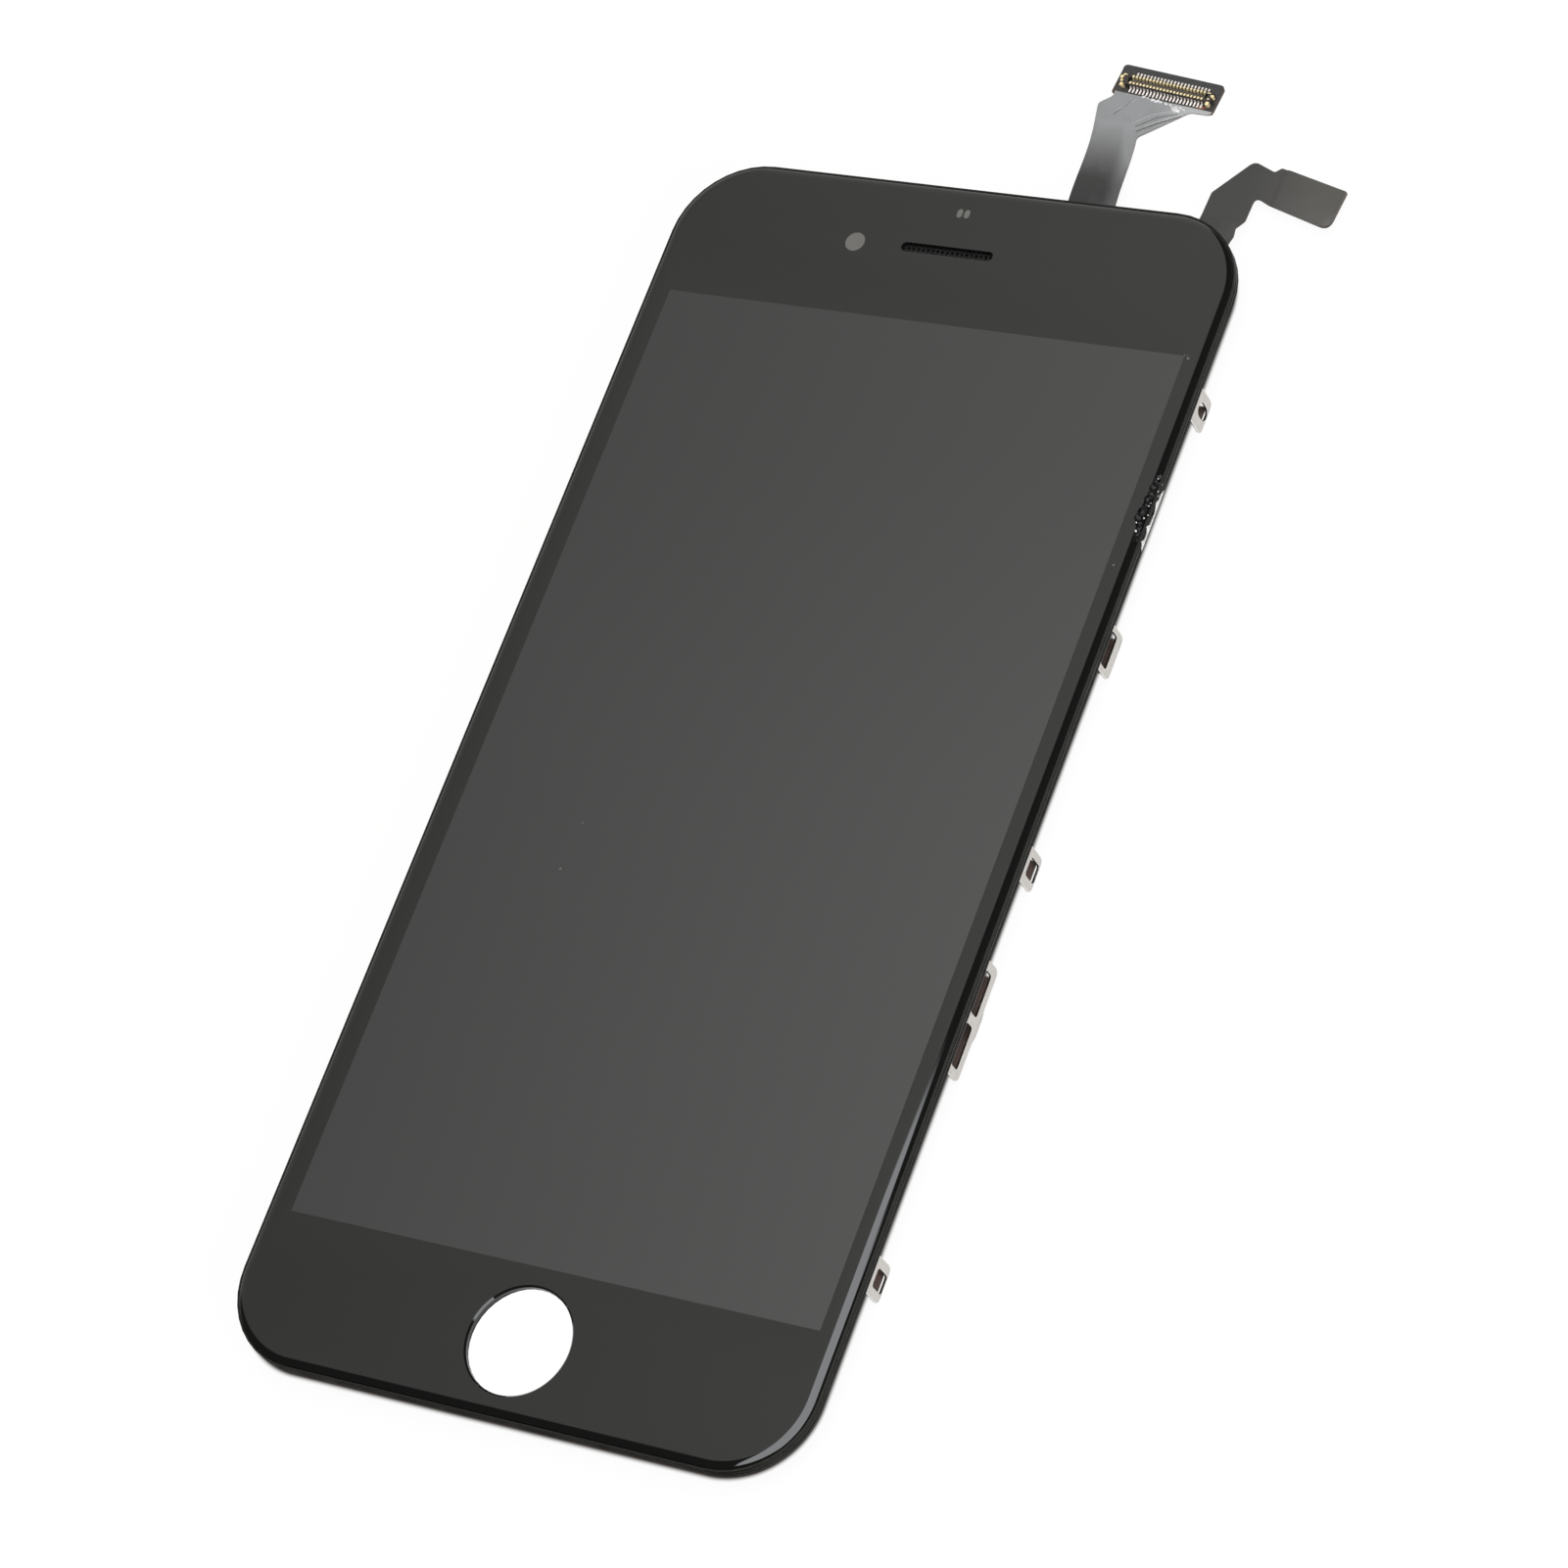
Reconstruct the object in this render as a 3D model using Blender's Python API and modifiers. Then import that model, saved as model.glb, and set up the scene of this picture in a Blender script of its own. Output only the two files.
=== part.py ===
"""Phone LCD screen assembly: cover glass, LCD module, moulded frame with steel clips, and two film circuits.

Metres. +X to the right and +Y towards the earpiece as the user sees the screen, +Z out of the glass.
The origin is the middle of the glass, on its front face.
"""

import math

import bmesh
import bpy
from mathutils import Euler, Matrix, Vector

MM = 0.001

# Lit area and the border around it, seen from the front
VIEW_WIDTH = 58.5 * MM
VIEW_LENGTH = 104.05 * MM
SIDE_BORDER = 2.55 * MM
UPPER_BORDER = 15.675 * MM
LOWER_BORDER = 15.275 * MM

# Outline of the whole panel
PANEL_WIDTH = VIEW_WIDTH + 2 * SIDE_BORDER
PANEL_LENGTH = VIEW_LENGTH + UPPER_BORDER + LOWER_BORDER
PANEL_RADIUS = 8.8 * MM
PANEL_SIDE = PANEL_WIDTH / 2
PANEL_END = PANEL_LENGTH / 2
STRAIGHT_END = PANEL_END - PANEL_RADIUS
VIEW_TOP = PANEL_END - UPPER_BORDER
VIEW_BOTTOM = LOWER_BORDER - PANEL_END

# Cover glass
GLASS_THICKNESS = 0.60 * MM
GLASS_EDGE_WIDTH = 0.72 * MM
GLASS_EDGE_DROP = 0.36 * MM
GLASS_EDGE_STEPS = 5
RIM_GAP = 0.05 * MM
HOLE_CHAMFER = 0.18 * MM

# Gap between neighbouring layers of the laminate, and between pieces that seat on each other
LAYER_GAP = 0.02 * MM
SEAT_GAP = 0.05 * MM

# Layers behind the glass, front to back
PRINT_THICKNESS = 0.04 * MM
ADHESIVE_THICKNESS = 0.10 * MM
POLARIZER_THICKNESS = 0.10 * MM
CELL_GLASS_THICKNESS = 0.20 * MM
TAPE_THICKNESS = 0.05 * MM
PRISM_THICKNESS = 0.06 * MM
DIFFUSER_THICKNESS = 0.05 * MM
GUIDE_THICKNESS = 0.40 * MM
REFLECTOR_THICKNESS = 0.06 * MM
PAN_THICKNESS = 0.14 * MM

# Moulded frame
RIM_TOP = -0.30 * MM
RIM_WALL = 0.20 * MM
GLUE_THICKNESS = 0.08 * MM
FRAME_WIDTH = 1.05 * MM
LIP_BOTTOM = -1.47 * MM
GROOVES = (-0.68 * MM, -1.16 * MM)
GROOVE_SIZE = 0.09 * MM
SKIRT_WALL = 0.5 * MM
SKIRT_BOTTOM = -2.45 * MM
TOP_FLANGE_THICKNESS = 0.52 * MM
BOTTOM_FLANGE_THICKNESS = 0.30 * MM
FLANGE_DROP = 0.05 * MM

# LCD module outline, from the lit area outwards
CELL_CLEARANCE = 0.45 * MM
CELL_WIDTH = PANEL_WIDTH - 2 * (FRAME_WIDTH + CELL_CLEARANCE)
CELL_FOOT = 1.025 * MM
CELL_HEAD = 3.375 * MM
CELL_BOTTOM = VIEW_BOTTOM - CELL_FOOT
CELL_TOP = VIEW_TOP + CELL_HEAD
CHIP_LEDGE = 2.4 * MM
FILTER_TOP = CELL_TOP - CHIP_LEDGE
POLARIZER_INSET = 0.5 * MM
PAN_TOP = CELL_TOP - CHIP_LEDGE / 2
PAN_RADIUS = 1.0 * MM
TRAY_WALL = 0.55 * MM
TRAY_GAP = 0.1 * MM
DRIVER_X = -0.25 * CELL_WIDTH
DRIVER_LENGTH = 0.36 * CELL_WIDTH
DRIVER_WIDTH = 1.0 * MM
DRIVER_HEIGHT = 0.16 * MM
DRIVER_STEP = 0.65 * MM
LED_COUNT = 10
LED_LENGTH = 0.05 * CELL_WIDTH
LED_DEPTH = 0.7 * MM
LED_SPINE = 0.5 * MM

# Flanges of the frame beyond the LCD module, and the openings in the glass and in its printed border
TOP_FLANGE_Y = CELL_TOP + 2.4 * MM
TOP_SPACE = PANEL_END - TOP_FLANGE_Y
BOTTOM_FLANGE_Y = CELL_BOTTOM - 0.45 * MM
HOME_RADIUS = 0.355 * LOWER_BORDER
HOME_STEP = 0.2 * MM
HOME_MARGIN = 0.45 * MM
HOME_Y = BOTTOM_FLANGE_Y - HOME_MARGIN - HOME_STEP - HOME_RADIUS
SLOT_LENGTH = 10.4 * MM
SLOT_WIDTH = 1.06 * MM
TOP_ROW_Y = TOP_FLANGE_Y + 0.237 * TOP_SPACE
CAMERA_X = -SLOT_LENGTH / 2 - 5.5 * MM
CAMERA_RADIUS = 1.08 * MM
SENSOR_Y = TOP_FLANGE_Y + 0.705 * TOP_SPACE
SENSOR_SPACING = 0.82 * MM
SENSOR_WIDTH = 0.6 * MM
SENSOR_LENGTH = 1.0 * MM

# Steel clips on the long sides, with their depths below the front of the glass
STEEL = 0.25 * MM
CLIP_INSET = 0.15 * MM
CLIP_BEND = 0.25 * MM
CLIP_ROOT = 0.72 * MM
CLIP_LEAD = 0.12 * MM
CLIP_CORNER = 0.8 * MM
CLIP_DEEP = 4.80 * MM
CLIP_SHORT = 4.50 * MM
WINDOW_SILL = 0.30 * MM
WINDOW_HEIGHT = 2.15 * MM
WINDOW_RADIUS = 0.35 * MM
OVAL_RADIUS = 0.68 * MM
WIDE_HEAD = 1.70 * MM
WIDE_SILL = 3.20 * MM
LOBE_LENGTH = 2.6 * MM
LOBE_RISE = 0.38 * MM
DEEP_CLIP = {
    "depth": CLIP_DEEP,
    "head": CLIP_DEEP - WINDOW_SILL - WINDOW_HEIGHT,
    "sill": CLIP_DEEP - WINDOW_SILL,
    "rounding": WINDOW_RADIUS,
    "lobe": False,
}
SHORT_CLIP = {
    "depth": CLIP_SHORT,
    "head": WIDE_HEAD,
    "sill": WIDE_SILL,
    "rounding": WINDOW_RADIUS,
    "lobe": False,
}

# Each clip: its middle as a share of the straight side, its length, and its windows as shares of that length
OVAL_CLIP = {**DEEP_CLIP, "place": 0.810, "length": 3.65 * MM, "windows": ((0.027, 0.397),)}
OVAL_CLIP["rounding"] = OVAL_RADIUS
WIDE_CLIP = {**SHORT_CLIP, "place": 0.3492, "length": 4.8 * MM, "windows": ((0.0, 0.74),)}
SQUARE_CLIP = {**DEEP_CLIP, "place": -0.0494, "length": 3.7 * MM, "windows": ((0.019, 0.522),)}
DOUBLE_CLIP = {**SHORT_CLIP, "place": -0.3245, "length": 11.8 * MM, "windows": ((-0.233, 0.373), (0.229, 0.373))}
DOUBLE_CLIP["lobe"] = True
LOWER_CLIP = {**DEEP_CLIP, "place": -0.7751, "length": 3.8 * MM, "windows": ((0.0, 0.5),)}
CLIPS = (OVAL_CLIP, WIDE_CLIP, SQUARE_CLIP, DOUBLE_CLIP, LOWER_CLIP)

# Steel tabs at the lower edge and hooks at the upper edge
TAB_X = HOME_RADIUS + 4.35 * MM
TAB_WIDTH = 4.5 * MM
TAB_INSET = 1.75 * MM
TAB_FOOT = 2.2 * MM
TAB_DEPTH = 4.4 * MM
TAB_HOLE_RADIUS = 0.9 * MM
TAB_HOLE_DEPTH = 3.1 * MM
HOOK_X = (9.8 * MM - PANEL_SIDE, -4.0 * MM, PANEL_SIDE - 12.3 * MM)
HOOK_WIDTH = 4.6 * MM
HOOK_INSET = 1.6 * MM
HOOK_FOOT = 2.0 * MM
HOOK_DEPTH = 2.9 * MM
HOOK_REACH = 1.2 * MM

# Threaded inserts under the flanges
INSERT_RADIUS = 1.1 * MM
INSERT_BORE = 0.5 * MM
INSERT_HEIGHT = 1.1 * MM
INSERT_COLLAR = 0.3 * MM
TOP_INSERTS = (
    (6.8 * MM - PANEL_SIDE, TOP_FLANGE_Y + 0.44 * TOP_SPACE),
    (PANEL_SIDE - 23.9 * MM, TOP_FLANGE_Y + 0.56 * TOP_SPACE),
    (PANEL_SIDE - 11.5 * MM, TOP_FLANGE_Y + 0.18 * TOP_SPACE),
)
INSERT_Y = HOME_Y - 1.75 * MM
BOTTOM_INSERTS = ((-TAB_X - 0.5 * MM, INSERT_Y), (TAB_X + 0.5 * MM, INSERT_Y))

# Earpiece, camera and sensor pieces behind the top of the glass
MESH_MARGIN = 0.57 * MM
MESH_LENGTH = SLOT_LENGTH + 2 * MESH_MARGIN + SLOT_WIDTH / 2
MESH_WIDTH = SLOT_WIDTH + 2 * MESH_MARGIN
MESH_THICKNESS = 0.08 * MM
MESH_COLUMNS = 18
MESH_ROWS = 2
MESH_HOLE = 0.27 * MM
GASKET_HEIGHT = 0.60 * MM
GASKET_WALL = 0.35 * MM
CAMERA_RING_WALL = 0.7 * MM
CAMERA_RING_HEIGHT = 0.6 * MM
SENSOR_HOLDER_LENGTH = 3.4 * MM
SENSOR_HOLDER_WIDTH = 1.9 * MM
SENSOR_HOLDER_HEIGHT = 0.6 * MM
SENSOR_HOLDER_RADIUS = 0.3 * MM
POCKET_GAP = 0.12 * MM

# Film circuits: the points of their outlines are given from the upper right corner of the panel
FILM = 0.12 * MM
STIFFENER = 0.20 * MM
FILM_FILLET = 0.35 * MM
FILM_ROOT_Z = -1.80 * MM
DISPLAY_HEAD_Z = -4.42 * MM
TOUCH_HEAD_Z = -3.35 * MM
TOUCH_HEAD_SLOPE = -0.08
DISPLAY_BOND_Y = FILTER_TOP + 0.9 * MM
TOUCH_BOND_Y = FILTER_TOP - 0.4 * MM
BOND_SPREAD_Y = CELL_TOP + 1.2 * MM
NECK_Y = TOP_FLANGE_Y + 0.6 * MM
DIP_END_Y = TOP_FLANGE_Y - 0.2 * MM
DISPLAY_FALL = (-1.3 * MM, 11.5 * MM)
TOUCH_FALL = (-3.1 * MM, 2.2 * MM)
SHEET_END_Y = 22.5 * MM
BEND_STEPS = 9
NOTCH_RISE = 0.12 * MM
NOTCH_SIDE = 0.5 * MM
DISPLAY_EDGES = (-21.96 * MM, -16.7 * MM)
DISPLAY_BOND_EDGES = (-26.8 * MM, -12.3 * MM)
DISPLAY_ELBOW = (-24.22 * MM, 13.95 * MM, 0.6 * MM)
DISPLAY_SHOULDER = (-22.87 * MM, 14.95 * MM, 0.5 * MM)
DISPLAY_CROTCH = (-18.55 * MM, 10.4 * MM, 0.6 * MM)
DISPLAY_HEEL = (-13.85 * MM, 13.9 * MM, 1.2 * MM)
DISPLAY_ROOT_Y = 1.0 * MM
DISPLAY_HEAD_ANGLE = math.radians(-6.8)
DISPLAY_HEAD_CENTRE = (-17.22 * MM, 16.3 * MM)
DISPLAY_HEAD_SIZE = (11.95 * MM, 3.62 * MM)
TOUCH_BOND_EDGES = (-11.0 * MM, -4.2 * MM)
TOUCH_LEFT = (-7.9 * MM, 0.92 * MM)
TOUCH_RIGHT = (-3.2 * MM, -0.7 * MM)
TOUCH_STEP_IN = (-3.6 * MM, 0.55 * MM)
TOUCH_STEP_OUT = (-3.04 * MM, 1.65 * MM)
TOUCH_WAIST = (-3.2 * MM, -4.0 * MM)
TOUCH_ELBOW = (-7.83 * MM, 4.57 * MM, 0.6 * MM)
TOUCH_TIP = (-4.66 * MM, 8.82 * MM, 0.9 * MM)
TOUCH_NICK = (-2.1 * MM, 7.78 * MM)
TOUCH_SHOULDER = (-1.5 * MM, 8.36 * MM)
TOUCH_CROTCH = (-3.0 * MM, 4.6 * MM, 0.7 * MM)
TOUCH_HEEL = (-1.3 * MM, 3.8 * MM, 1.0 * MM)
TOUCH_HEAD = (
    (6.36 * MM, 6.31 * MM, 0.2 * MM),
    (-0.9 * MM, 8.2 * MM),
    (-0.9 * MM, 3.68 * MM),
    (6.0 * MM, 1.65 * MM, 1.0 * MM),
)
TOUCH_HEAD_CENTRE = (2.6 * MM, 4.95 * MM)
TOUCH_HEAD_ANGLE = math.radians(-14.5)
TOUCH_TAPER = 1.8 * MM

# Board connectors
PIN_PITCH = 0.4 * MM
PIN_COUNT = 22
PIN_WIDTH = 0.2 * MM
CONNECTOR_END = 0.80 * MM
CONNECTOR_WIDTH = 1.20 * MM
CONNECTOR_HEIGHT = 0.62 * MM
CONNECTOR_FLOOR = 0.2 * MM
CONNECTOR_WALL = 0.34 * MM
CONNECTOR_SHIFT = (0.31 * MM, -0.11 * MM)
CONNECTOR_CORNER = 0.15 * MM
TAIL_REACH = 0.52 * MM
TAIL_THICKNESS = 0.12 * MM
TAIL_ROOT = 0.1 * MM
CONTACT_REACH = 0.12 * MM
TOUCH_PINS = 10
HOLD_DOWN = 0.15 * MM
HOLD_DOWN_ARM = 0.5 * MM

# The chip out of the right edge: scoops in the glass, and a jagged break in the frame's wall below.
# Each is its offset from the middle of the damage, its radius, and its reach in from the edge.
DAMAGE_Y = 0.5185 * PANEL_END
GLASS_SCOOPS = (
    (3.4 * MM, 0.55 * MM, 0.30 * MM),
    (2.3 * MM, 0.75 * MM, 0.45 * MM),
    (1.2 * MM, 0.70 * MM, 0.55 * MM),
    (0.0 * MM, 0.80 * MM, 0.60 * MM),
    (-1.2 * MM, 0.85 * MM, 0.85 * MM),
    (-2.4 * MM, 0.60 * MM, 0.40 * MM),
    (-3.5 * MM, 0.45 * MM, 0.25 * MM),
)
RIM_BREAK = (
    (2.45 * MM, -1.25 * MM),
    (1.95 * MM, -0.95 * MM),
    (1.40 * MM, -1.02 * MM),
    (0.85 * MM, -0.70 * MM),
    (0.10 * MM, -1.12 * MM),
    (-0.25 * MM, -0.78 * MM),
    (-1.00 * MM, -1.10 * MM),
    (-1.45 * MM, -0.98 * MM),
    (-1.80 * MM, -0.66 * MM),
    (-2.35 * MM, -1.05 * MM),
    (-2.95 * MM, -1.12 * MM),
    (-3.45 * MM, -0.72 * MM),
    (-4.05 * MM, -1.28 * MM),
    (-4.20 * MM, -1.38 * MM),
    (2.70 * MM, -1.38 * MM),
)
RIM_BREAK_DEPTH = 0.26 * MM
SCOOP_DEPTH = 0.1 * MM

CORNER_STEPS = 10
HOLE_STEPS = 40
SMALL_STEPS = 4
WELD = 0.001 * MM
SPARE = 1.0 * MM
REACH = 5.0 * MM

# Levels behind the glass, each from the layer in front of it
GLASS_BACK = -GLASS_THICKNESS
PRINT_FRONT = GLASS_BACK - LAYER_GAP
PRINT_BACK = PRINT_FRONT - PRINT_THICKNESS
ADHESIVE_FRONT = PRINT_BACK - LAYER_GAP
POLARIZER_FRONT = ADHESIVE_FRONT - ADHESIVE_THICKNESS - LAYER_GAP
FILTER_FRONT = POLARIZER_FRONT - POLARIZER_THICKNESS - LAYER_GAP
TFT_FRONT = FILTER_FRONT - CELL_GLASS_THICKNESS - LAYER_GAP
REAR_POLARIZER_FRONT = TFT_FRONT - CELL_GLASS_THICKNESS - LAYER_GAP
TAPE_FRONT = REAR_POLARIZER_FRONT - POLARIZER_THICKNESS - LAYER_GAP
TRAY_FRONT = TAPE_FRONT - TAPE_THICKNESS - LAYER_GAP
UPPER_PRISM_FRONT = TRAY_FRONT
LOWER_PRISM_FRONT = UPPER_PRISM_FRONT - PRISM_THICKNESS - LAYER_GAP
DIFFUSER_FRONT = LOWER_PRISM_FRONT - PRISM_THICKNESS - LAYER_GAP
GUIDE_FRONT = DIFFUSER_FRONT - DIFFUSER_THICKNESS - LAYER_GAP
GUIDE_BACK = GUIDE_FRONT - GUIDE_THICKNESS
REFLECTOR_FRONT = GUIDE_BACK - LAYER_GAP
REFLECTOR_BACK = REFLECTOR_FRONT - REFLECTOR_THICKNESS
PAN_FRONT = REFLECTOR_BACK - LAYER_GAP
LEDGE_TOP = PRINT_BACK - GLUE_THICKNESS - 2 * LAYER_GAP
FLANGE_TOP = LEDGE_TOP - FLANGE_DROP
TOP_FLANGE_BACK = FLANGE_TOP - TOP_FLANGE_THICKNESS
BOTTOM_FLANGE_BACK = FLANGE_TOP - BOTTOM_FLANGE_THICKNESS

COLOURS = {
    "glass": ((0.02, 0.02, 0.02), 0.05, 0.0),
    "print": ((0.01, 0.01, 0.01), 0.4, 0.0),
    "adhesive": ((0.02, 0.02, 0.02), 0.6, 0.0),
    "black_plastic": ((0.03, 0.03, 0.03), 0.45, 0.0),
    "white_plastic": ((0.75, 0.75, 0.73), 0.5, 0.0),
    "steel": ((0.60, 0.59, 0.56), 0.3, 1.0),
    "brass": ((0.70, 0.52, 0.22), 0.35, 1.0),
    "clear_film": ((0.45, 0.45, 0.45), 0.2, 0.0),
    "cell_glass": ((0.10, 0.10, 0.11), 0.1, 0.0),
    "silicon": ((0.08, 0.08, 0.09), 0.3, 0.0),
    "copper_film": ((0.30, 0.30, 0.30), 0.35, 0.3),
    "dark_film": ((0.10, 0.10, 0.10), 0.45, 0.0),
    "connector": ((0.06, 0.05, 0.05), 0.5, 0.0),
    "gold": ((0.80, 0.60, 0.25), 0.25, 1.0),
}

parts = bpy.data.collections.new("phone_lcd_screen_assembly")
cutters = bpy.data.collections.new("cutters")


def clear_scene():
    for obj in list(bpy.data.objects):
        bpy.data.objects.remove(obj)
    for collection in (parts, cutters):
        bpy.context.scene.collection.children.link(collection)


def finish_of(name):
    found = bpy.data.materials.get(name)
    if found:
        return found
    colour, roughness, metallic = COLOURS[name]
    made = bpy.data.materials.new(name)
    made.use_nodes = True
    shader = made.node_tree.nodes["Principled BSDF"]
    shader.inputs["Base Color"].default_value = (*colour, 1.0)
    shader.inputs["Roughness"].default_value = roughness
    shader.inputs["Metallic"].default_value = metallic
    return made


def arc(centre, radius, start, end, steps):
    """Points on an arc, both ends included; the angles are in degrees."""
    points = []
    for step in range(steps + 1):
        angle = math.radians(start + (end - start) * step / steps)
        points.append((centre[0] + radius * math.cos(angle), centre[1] + radius * math.sin(angle)))
    return points


def circle(centre, radius, steps=HOLE_STEPS):
    return arc(centre, radius, 0.0, 360.0, steps)[:-1]


def rounded_box(left, right, bottom, top, radius, steps=SMALL_STEPS):
    """Rectangle with round corners, anticlockwise from its upper right corner."""
    points = arc((right - radius, top - radius), radius, 0.0, 90.0, steps)
    points += arc((left + radius, top - radius), radius, 90.0, 180.0, steps)
    points += arc((left + radius, bottom + radius), radius, 180.0, 270.0, steps)
    points += arc((right - radius, bottom + radius), radius, 270.0, 360.0, steps)
    return points


def panel_outline(inset, steps=CORNER_STEPS):
    half_width = PANEL_SIDE - inset
    half_length = PANEL_END - inset
    radius = PANEL_RADIUS - inset
    return rounded_box(-half_width, half_width, -half_length, half_length, radius, steps)


def rectangle(left, right, bottom, top):
    return [(right, top), (left, top), (left, bottom), (right, bottom)]


def slot(centre, length, width, steps=6):
    """Stadium along X."""
    reach = (length - width) / 2
    points = arc((centre[0] + reach, centre[1]), width / 2, -90.0, 90.0, steps)
    points += arc((centre[0] - reach, centre[1]), width / 2, 90.0, 270.0, steps)
    return points


def filleted(corners, radius, steps=SMALL_STEPS):
    """Closed outline with rounded corners. A corner's third number is a radius of its own."""
    points = []
    for index, corner in enumerate(corners):
        here = Vector(corner[:2])
        before = Vector(corners[index - 1][:2]) - here
        after = Vector(corners[(index + 1) % len(corners)][:2]) - here
        half = before.angle(after) / 2
        size = corner[2] if len(corner) > 2 else radius
        reach = min(size / math.tan(half), 0.45 * before.length, 0.45 * after.length)
        start = here + before.normalized() * reach
        end = here + after.normalized() * reach
        for step in range(steps + 1):
            share = step / steps
            first = start.lerp(here, share)
            second = here.lerp(end, share)
            points.append(tuple(first.lerp(second, share)))
    return points


def turned(points, angle, centre):
    """The points, given around the origin, turned by the angle and moved to the centre."""
    cos, sin = math.cos(angle), math.sin(angle)
    return [(centre[0] + x * cos - y * sin, centre[1] + x * sin + y * cos) for x, y in points]


def placed(obj, finish, collection):
    collection.objects.link(obj)
    obj.data.materials.clear()
    obj.data.materials.append(finish_of(finish))
    if collection is cutters:
        obj.hide_render = True
        obj.display_type = "WIRE"
    return obj


def as_mesh(obj, name, finish, collection):
    """The evaluated shape as a welded mesh object of this name; the object that it came from is removed."""
    depsgraph = bpy.context.evaluated_depsgraph_get()
    data = bpy.data.meshes.new_from_object(obj.evaluated_get(depsgraph))
    data.name = name
    bm = bmesh.new()
    bm.from_mesh(data)
    bmesh.ops.remove_doubles(bm, verts=bm.verts, dist=WELD)
    bmesh.ops.recalc_face_normals(bm, faces=bm.faces)
    bm.to_mesh(data)
    bm.free()
    matrix = obj.matrix_world.copy()
    bpy.data.objects.remove(obj)
    solid = bpy.data.objects.new(name, data)
    solid.matrix_world = matrix
    return placed(solid, finish, collection)


def curve_of(name, loops):
    data = bpy.data.curves.new(name, "CURVE")
    data.dimensions = "2D"
    for loop in loops:
        spline = data.splines.new("POLY")
        spline.points.add(len(loop) - 1)
        for point, (x, y) in zip(spline.points, loop):
            point.co = (x, y, 0.0, 1.0)
        spline.use_cyclic_u = True
    return data


def plate(name, loops, back, front, finish, collection=parts, rotation=None):
    """Flat plate: the first loop is its outline and the others are holes. It lies from back to front on its axis."""
    data = curve_of(name, loops)
    data.fill_mode = "BOTH"
    data.extrude = (front - back) / 2
    drawn = bpy.data.objects.new(name, data)
    middle = (front + back) / 2
    if rotation == "x":
        # Drawn as (y, z), lying across X
        drawn.rotation_euler = (math.pi / 2, 0.0, math.pi / 2)
        drawn.location = (middle, 0.0, 0.0)
    elif rotation == "y":
        # Drawn as (x, z), lying across Y
        drawn.rotation_euler = (math.pi / 2, 0.0, 0.0)
        drawn.location = (0.0, middle, 0.0)
    else:
        drawn.location = (0.0, 0.0, middle)
    bpy.context.scene.collection.objects.link(drawn)
    return as_mesh(drawn, name, finish, collection)


def prism(name, outline, back, front, finish, collection=parts):
    """Flat solid with one outline and no holes."""
    bm = bmesh.new()
    face = bm.faces.new([bm.verts.new((x, y, back)) for x, y in outline])
    for item in bmesh.ops.extrude_face_region(bm, geom=[face])["geom"]:
        if isinstance(item, bmesh.types.BMVert):
            item.co.z = front
    bmesh.ops.recalc_face_normals(bm, faces=bm.faces)
    data = bpy.data.meshes.new(name)
    bm.to_mesh(data)
    bm.free()
    return placed(bpy.data.objects.new(name, data), finish, collection)


def swept_ring(name, path, section, finish, collection=parts):
    """Ring along the closed path; the section is closed, as (distance outwards from the path, height)."""
    drawn = [(-outwards, height) for outwards, height in section]
    profile = bpy.data.objects.new(name + "_section", curve_of(name + "_section", [drawn]))
    data = curve_of(name, [path])
    data.fill_mode = "NONE"
    data.bevel_mode = "OBJECT"
    data.bevel_object = profile
    ring = bpy.data.objects.new(name, data)
    for obj in (profile, ring):
        bpy.context.scene.collection.objects.link(obj)
    solid = as_mesh(ring, name, finish, collection)
    bpy.data.objects.remove(profile)
    return solid


def boolean(target, tool, operation):
    modifier = target.modifiers.new(operation.lower() + "_" + tool.name, "BOOLEAN")
    modifier.object = tool
    modifier.operation = operation
    modifier.solver = "EXACT"


def cut(target, *tools):
    for tool in tools:
        boolean(target, tool, "DIFFERENCE")


def join(target, *tools):
    for tool in tools:
        boolean(target, tool, "UNION")


def bent_sheet(name, path, width, thickness, finish, across, middle=0.0):
    """Sheet that follows a path and is as wide as given across it: path points are (y, z) across X, else (x, z)."""
    bm = bmesh.new()
    rows = []
    for side in (middle - width / 2, middle + width / 2):
        if across == "x":
            rows.append([bm.verts.new((side, along, z)) for along, z in path])
        else:
            rows.append([bm.verts.new((along, side, z)) for along, z in path])
    for index in range(len(path) - 1):
        bm.faces.new((rows[0][index], rows[0][index + 1], rows[1][index + 1], rows[1][index]))
    data = bpy.data.meshes.new(name)
    bm.to_mesh(data)
    bm.free()
    sheet = placed(bpy.data.objects.new(name, data), finish, parts)
    solidify = sheet.modifiers.new("thickness", "SOLIDIFY")
    solidify.thickness = thickness
    solidify.offset = 0.0
    return sheet


def cylinder(name, centre, radius, back, front, finish, collection=parts, steps=16):
    return plate(name, [circle(centre, radius, steps)], back, front, finish, collection)


def lathe(name, profile, centre, finish, collection=cutters, steps=HOLE_STEPS):
    """Closed solid of revolution about an upright axis; the profile is (radius, height) from low to high."""
    bm = bmesh.new()
    rings = []
    for radius, height in profile:
        rings.append([bm.verts.new((x, y, height)) for x, y in circle(centre, radius, steps)])
    bm.faces.new(rings[0])
    bm.faces.new(rings[-1])
    for lower, upper in zip(rings, rings[1:]):
        for index in range(steps):
            after = (index + 1) % steps
            bm.faces.new((lower[index], lower[after], upper[after], upper[index]))
    bmesh.ops.recalc_face_normals(bm, faces=bm.faces)
    data = bpy.data.meshes.new(name)
    bm.to_mesh(data)
    bm.free()
    return placed(bpy.data.objects.new(name, data), finish, collection)


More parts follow.
